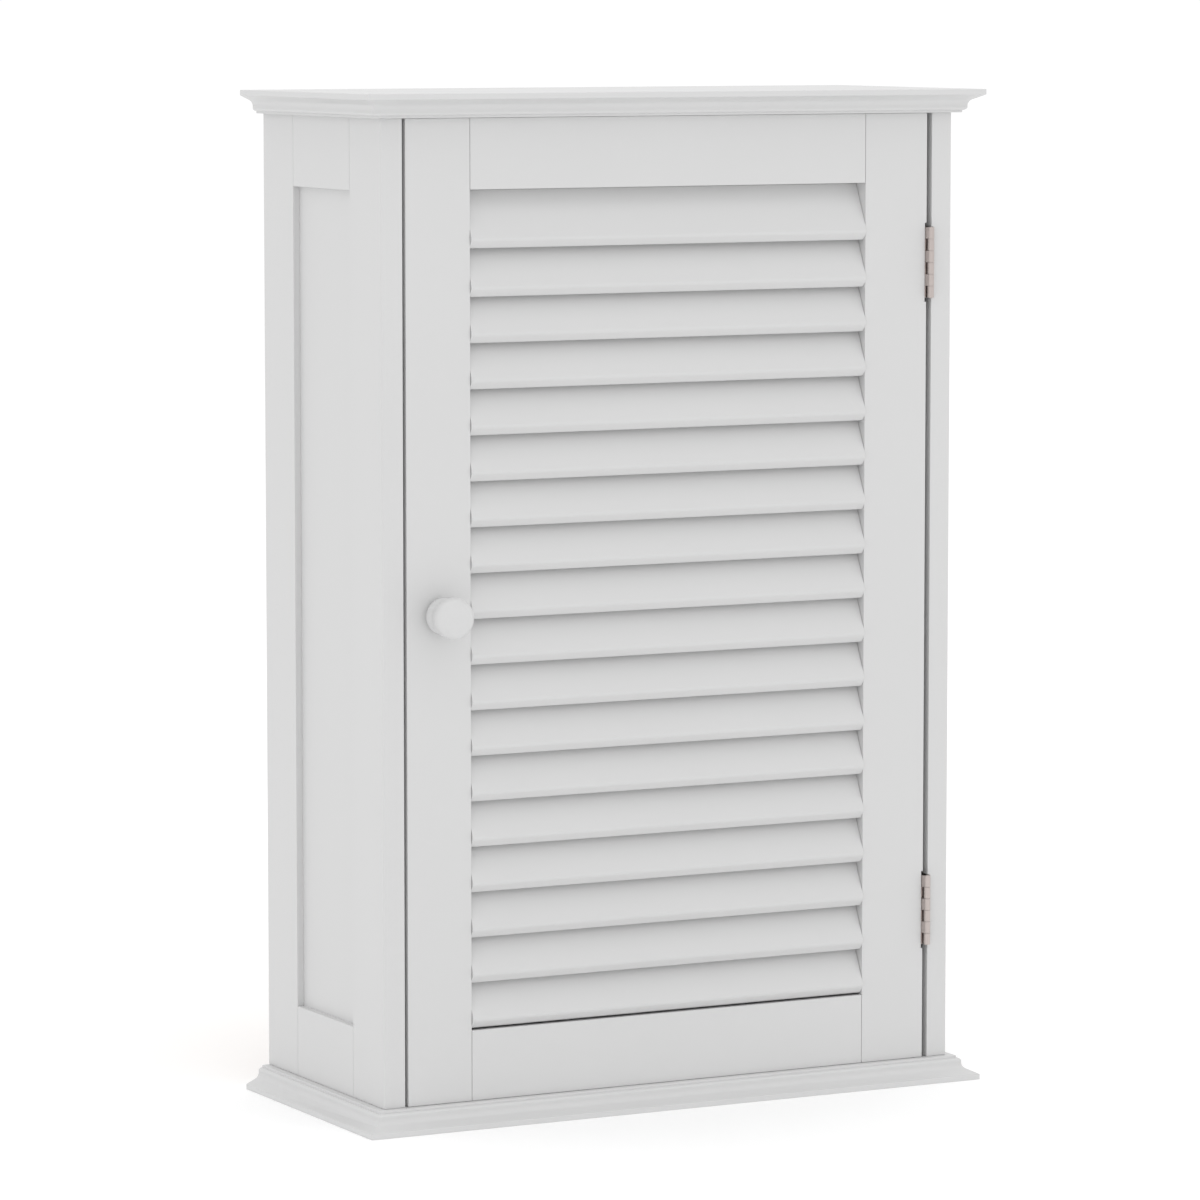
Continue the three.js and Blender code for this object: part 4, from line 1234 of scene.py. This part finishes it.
def hinge_leaf(hinge, side, sizes):
    """A leaf that is rolled around the pin, with three knuckles, its bore and screw holes."""
    rolled_edge = 0.12 * MM
    low, high = leaf_box(hinge, side)
    pin = middle(f"{hinge}_hinge_pin")
    radius = sizes.barrel_radius
    outer = low.x if side < 0 else high.x
    inner = leaf_face(side)
    meets = math.acos(abs(inner - pin.x) / radius)
    corners = [(outer, high.y, 0), (outer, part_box("door_hinge_stile")[0].y, 0)]
    for angle in arc(math.tau - meets, BARREL_STEPS):
        spot = (pin.x + side * radius * math.cos(angle), pin.y - radius * math.sin(angle), 0)
        corners.append(spot)
    corners.append((inner, high.y, 0))
    shape = solid_outline(corners, "z", low.z, high.z)
    pitch = (high.z - low.z + sizes.knuckle_gap) / KNUCKLES
    clear = pin.y + radius + sizes.leaf_clearance
    gaps = []
    for index in range(1 if side < 0 else 0, KNUCKLES, 2):
        top = high.z - pitch * index + sizes.knuckle_gap
        foot = high.z - pitch * (index + 1)
        top = top + OVERRUN if index == 0 else top
        foot = foot - OVERRUN if index == KNUCKLES - 1 else foot
        gaps.append(
            block(
                (pin.x - radius - OVERRUN, pin.y - radius - OVERRUN, foot),
                (pin.x + radius + OVERRUN, clear, top),
            )
        )
    shape = soften(cut(shape, gaps), rolled_edge)
    foot, top = low.z - OVERRUN, high.z + OVERRUN
    bore = rod(sizes.pin_bore, (pin.x, pin.y, foot), (pin.x, pin.y, top), BARREL_STEPS)
    places = leaf_screw_places(sizes, hinge, side)
    return cut(shape, [bore, *screw_holes(sizes, places, (side, 0, 0))])


def hinge_pin(node):
    """A pin with slightly rounded ends."""
    low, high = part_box(node)
    centre = (low + high) / 2
    radius = (high.x - low.x) / 2
    rim = 0.25 * MM
    tall = high.z - low.z
    profile = [
        (0, 0), (radius - rim, 0), (radius, rim), (radius, tall - rim), (radius - rim, tall),
        (0, tall),
    ]
    return turned(profile, UPWARDS, (centre.x, centre.y, low.z), HOLE_STEPS)


class CABINET_OT_hinges(bpy.types.Operator):
    """Makes the two butt hinges and their screws"""

    bl_idname = "cabinet.hinges"
    bl_label = "Butt Hinges"

    def execute(self, context):
        sizes = context.scene.cabinet_sizes
        for hinge in HINGES:
            for side, leaf, body in LEAVES:
                node = f"{hinge}_hinge_{leaf}_leaf"
                shape = hinge_leaf(hinge, side, sizes)
                add_piece(shape, f"{node}_plated", body, "hinge_nickel", [node])
            node = f"{hinge}_hinge_pin"
            add_piece(hinge_pin(node), f"{node}_plated", CABINET, "hinge_nickel", [node])
        for side, leaf, body in LEAVES:
            screws = countersunk_screws(sizes, hinge_screw_places(sizes, side), (side, 0, 0))
            add_piece(screws, f"hinge_{leaf}_screws", body, "hinge_nickel")
        return {"FINISHED"}


# Hangers and catch


def pressed_plate(node, radius, sizes):
    """A thin plate with rounded corners."""
    low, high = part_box(node)
    corners = [(low.x, low.z), (high.x, low.z), (high.x, high.z), (low.x, high.z)]
    plate = solid_outline([(a, b, radius) for a, b in corners], "y", low.y, high.y)
    return soften(plate, sizes.pressed_edge)


def hanger_plate(node, sizes):
    radius = 3 * MM
    low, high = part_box(node)
    slot = solid_outline(keyhole(node), "y", low.y - OVERRUN, high.y + OVERRUN)
    holes = screw_holes(sizes, hanger_screw_places(node), FORWARDS)
    return cut(pressed_plate(node, radius, sizes), [slot, *holes])


class CABINET_OT_hangers(bpy.types.Operator):
    """Makes the two keyhole hangers and their screws"""

    bl_idname = "cabinet.hangers"
    bl_label = "Keyhole Hangers"

    def execute(self, context):
        sizes = context.scene.cabinet_sizes
        for side, node in zip(SIDES, HANGERS):
            add_piece(hanger_plate(node, sizes), f"{node}_plate", CABINET, "zinc_steel", [node])
            screws = countersunk_screws(sizes, hanger_screw_places(node), FORWARDS)
            add_piece(screws, f"{side}_hanger_screws", CABINET, "zinc_steel")
        return {"FINISHED"}


def catch_housing(sizes):
    """A moulded block with an ear at each end and a pocket for the magnet."""
    ear_length = 8 * MM
    ear_thickness = 2.5 * MM
    corner = 1 * MM
    moulded_edge = 0.4 * MM
    low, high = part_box("catch_housing")
    magnet_low, magnet_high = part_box("catch_magnet")
    ear_floor = high.z - ear_thickness
    left, right = low.x + ear_length, high.x - ear_length
    corners = [
        (low.x, ear_floor, 0), (left, ear_floor, 0), (left, low.z, corner),
        (right, low.z, corner), (right, ear_floor, 0), (high.x, ear_floor, 0),
        (high.x, high.z, 0), (low.x, high.z, 0),
    ]
    housing = soften(solid_outline(corners, "y", low.y, high.y), moulded_edge, segments=3)
    fit = Vector((1, 1, 1)) * sizes.mortise_fit
    pocket_low = magnet_low - fit
    pocket_low.y = low.y - OVERRUN
    holes = screw_holes(sizes, [screw_head(node) for node in CATCH_SCREWS], UPWARDS)
    return cut(housing, [block(pocket_low, magnet_high + fit), *holes])


class CABINET_OT_catch(bpy.types.Operator):
    """Makes the magnetic catch, and its strike plate on the door"""

    bl_idname = "cabinet.catch"
    bl_label = "Magnetic Catch"

    def execute(self, context):
        sizes = context.scene.cabinet_sizes
        pole = 1.6 * MM
        proud = 1.6 * MM
        ground_edge = 0.2 * MM
        strike_radius = 2 * MM
        add_piece(
            catch_housing(sizes), "catch_housing_moulded", CABINET, "white_plastic",
            ["catch_housing"],
        )
        low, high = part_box("catch_magnet")
        ferrite = soften(
            block((low.x, low.y + proud, low.z + pole), (high.x, high.y, high.z - pole)),
            ground_edge,
        )
        add_piece(ferrite, "catch_magnet_ferrite", CABINET, "ferrite", ["catch_magnet"])
        plates = gathered([
            soften(block(low, (high.x, high.y, low.z + pole)), ground_edge),
            soften(block((low.x, low.y, high.z - pole), high), ground_edge),
        ])
        add_piece(
            plates, "catch_pole_plates", CABINET, "ferrite", ["catch_magnet"], [zinc_plate]
        )
        for node in CATCH_SCREWS:
            screw = countersunk_screws(sizes, [screw_head(node)], UPWARDS)
            add_piece(screw, f"{node}_plated", CABINET, "zinc_steel", [node])
        head = [strike_screw_head()]
        strike = pressed_plate("strike_plate", strike_radius, sizes)
        strike = cut(strike, screw_holes(sizes, head, FORWARDS))
        add_piece(strike, "strike_plate_plated", DOOR, "zinc_steel", ["strike_plate"])
        screw = countersunk_screws(sizes, head, FORWARDS)
        add_piece(screw, "strike_screw_plated", DOOR, "zinc_steel", ["strike_screw"])
        return {"FINISHED"}


# Stage

WHITE = (1, 1, 1, 1)


class CABINET_OT_stage(bpy.types.Operator):
    """Makes the pale floor, the soft light and the camera at the photograph's view"""

    bl_idname = "cabinet.stage"
    bl_label = "Stage"

    def execute(self, context):
        context.scene.view_settings.view_transform = "Standard"
        add_floor(context.scene)
        add_soft_light(context.scene)
        add_camera(context.scene)
        return {"FINISHED"}


def add_floor(scene):
    """A pale matt floor that glows a little and reaches metres past the cabinet."""
    reach = 6
    patch = 400 * MM
    roughness = 0.9
    glow = 0.1
    bm = bmesh.new()
    bmesh.ops.create_grid(bm, x_segments=1, y_segments=1, size=reach)
    mesh = bpy.data.meshes.new("floor")
    bm.to_mesh(mesh)
    bm.free()
    settings = {"Roughness": roughness, "Emission Color": WHITE, "Emission Strength": glow}
    matt = plain_finish(
        "Matt studio floor", settings, "floor", patch, detail=2.0, tones=(0.995, 1.0)
    )
    mesh.materials.append(matt)
    floor = bpy.data.objects.new("floor", mesh)
    scene.collection.objects.link(floor)


def add_soft_light(scene):
    """A bright even room, and one wide soft light overhead."""
    room_strength = 1.02
    width = 3
    power = 12
    place = (0, -0.6, 2.8)
    room = bpy.data.worlds.new("Bright room")
    room.use_nodes = True
    tree = room.node_tree
    tree.nodes.clear()
    glow = add_node(tree, "ShaderNodeBackground", {"Color": WHITE, "Strength": room_strength})
    add_node(tree, "ShaderNodeOutputWorld", links={"Surface": glow.outputs["Background"]})
    scene.world = room
    lamp = bpy.data.lights.new("overhead softbox", "AREA")
    lamp.shape = "SQUARE"
    lamp.size = width
    lamp.energy = power
    box = bpy.data.objects.new("overhead softbox", lamp)
    box.location = place
    scene.collection.objects.link(box)


def add_camera(scene):
    data = bpy.data.cameras.new("photograph view")
    data.lens = CAMERA_LENS
    data.sensor_width = CAMERA_SENSOR
    data.sensor_fit = "HORIZONTAL"
    turn = Matrix.Rotation(CAMERA_AZIMUTH, 3, "Z") @ Matrix.Rotation(
        math.pi / 2 - CAMERA_ELEVATION, 3, "X"
    )
    right, up, back = turn.col
    low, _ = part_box("left_front_stile")
    _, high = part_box("right_back_stile")
    centre = (low + high) / 2
    camera = bpy.data.objects.new("photograph view", data)
    camera.matrix_world = Matrix.Translation(
        centre + back * CAMERA_DISTANCE - right * CAMERA_AIM_RIGHT - up * CAMERA_AIM_UP
    ) @ turn.to_4x4()
    scene.collection.objects.link(camera)
    scene.camera = camera


# Panel


OPERATORS = (
    CABINET_OT_boards, CABINET_OT_sides, CABINET_OT_back, CABINET_OT_shelf, CABINET_OT_slats,
    CABINET_OT_door_frame, CABINET_OT_knob, CABINET_OT_hinges, CABINET_OT_hangers,
    CABINET_OT_catch, CABINET_OT_stage,
)


class CABINET_PT_pieces(bpy.types.Panel):
    """Lists the cabinet's pieces, sizes and colours"""

    bl_idname = "CABINET_PT_pieces"
    bl_label = "Louvred Door Cabinet"
    bl_space_type = "VIEW_3D"
    bl_region_type = "UI"
    bl_category = "Cabinet"

    def draw(self, context):
        column = self.layout.column()
        for group in (context.scene.cabinet_colours, context.scene.cabinet_sizes):
            for name in group.__annotations__:
                column.prop(group, name)
        for operator in OPERATORS:
            column.operator(operator.bl_idname)


CLASSES = (CabinetColours, CabinetSizes, *OPERATORS, CABINET_PT_pieces)


def register():
    for cls in CLASSES:
        bpy.utils.register_class(cls)
    bpy.types.Scene.cabinet_colours = PointerProperty(type=CabinetColours)
    bpy.types.Scene.cabinet_sizes = PointerProperty(type=CabinetSizes)


def unregister():
    del bpy.types.Scene.cabinet_sizes
    del bpy.types.Scene.cabinet_colours
    for cls in reversed(CLASSES):
        bpy.utils.unregister_class(cls)


def main():
    register()
    bpy.ops.cabinet.boards()
    bpy.ops.cabinet.sides()
    bpy.ops.cabinet.back()
    bpy.ops.cabinet.shelf()
    bpy.ops.cabinet.slats()
    bpy.ops.cabinet.door_frame()
    bpy.ops.cabinet.knob()
    bpy.ops.cabinet.hinges()
    bpy.ops.cabinet.hangers()
    bpy.ops.cabinet.catch()
    bpy.ops.cabinet.stage()


if __name__ == "__main__":
    main()
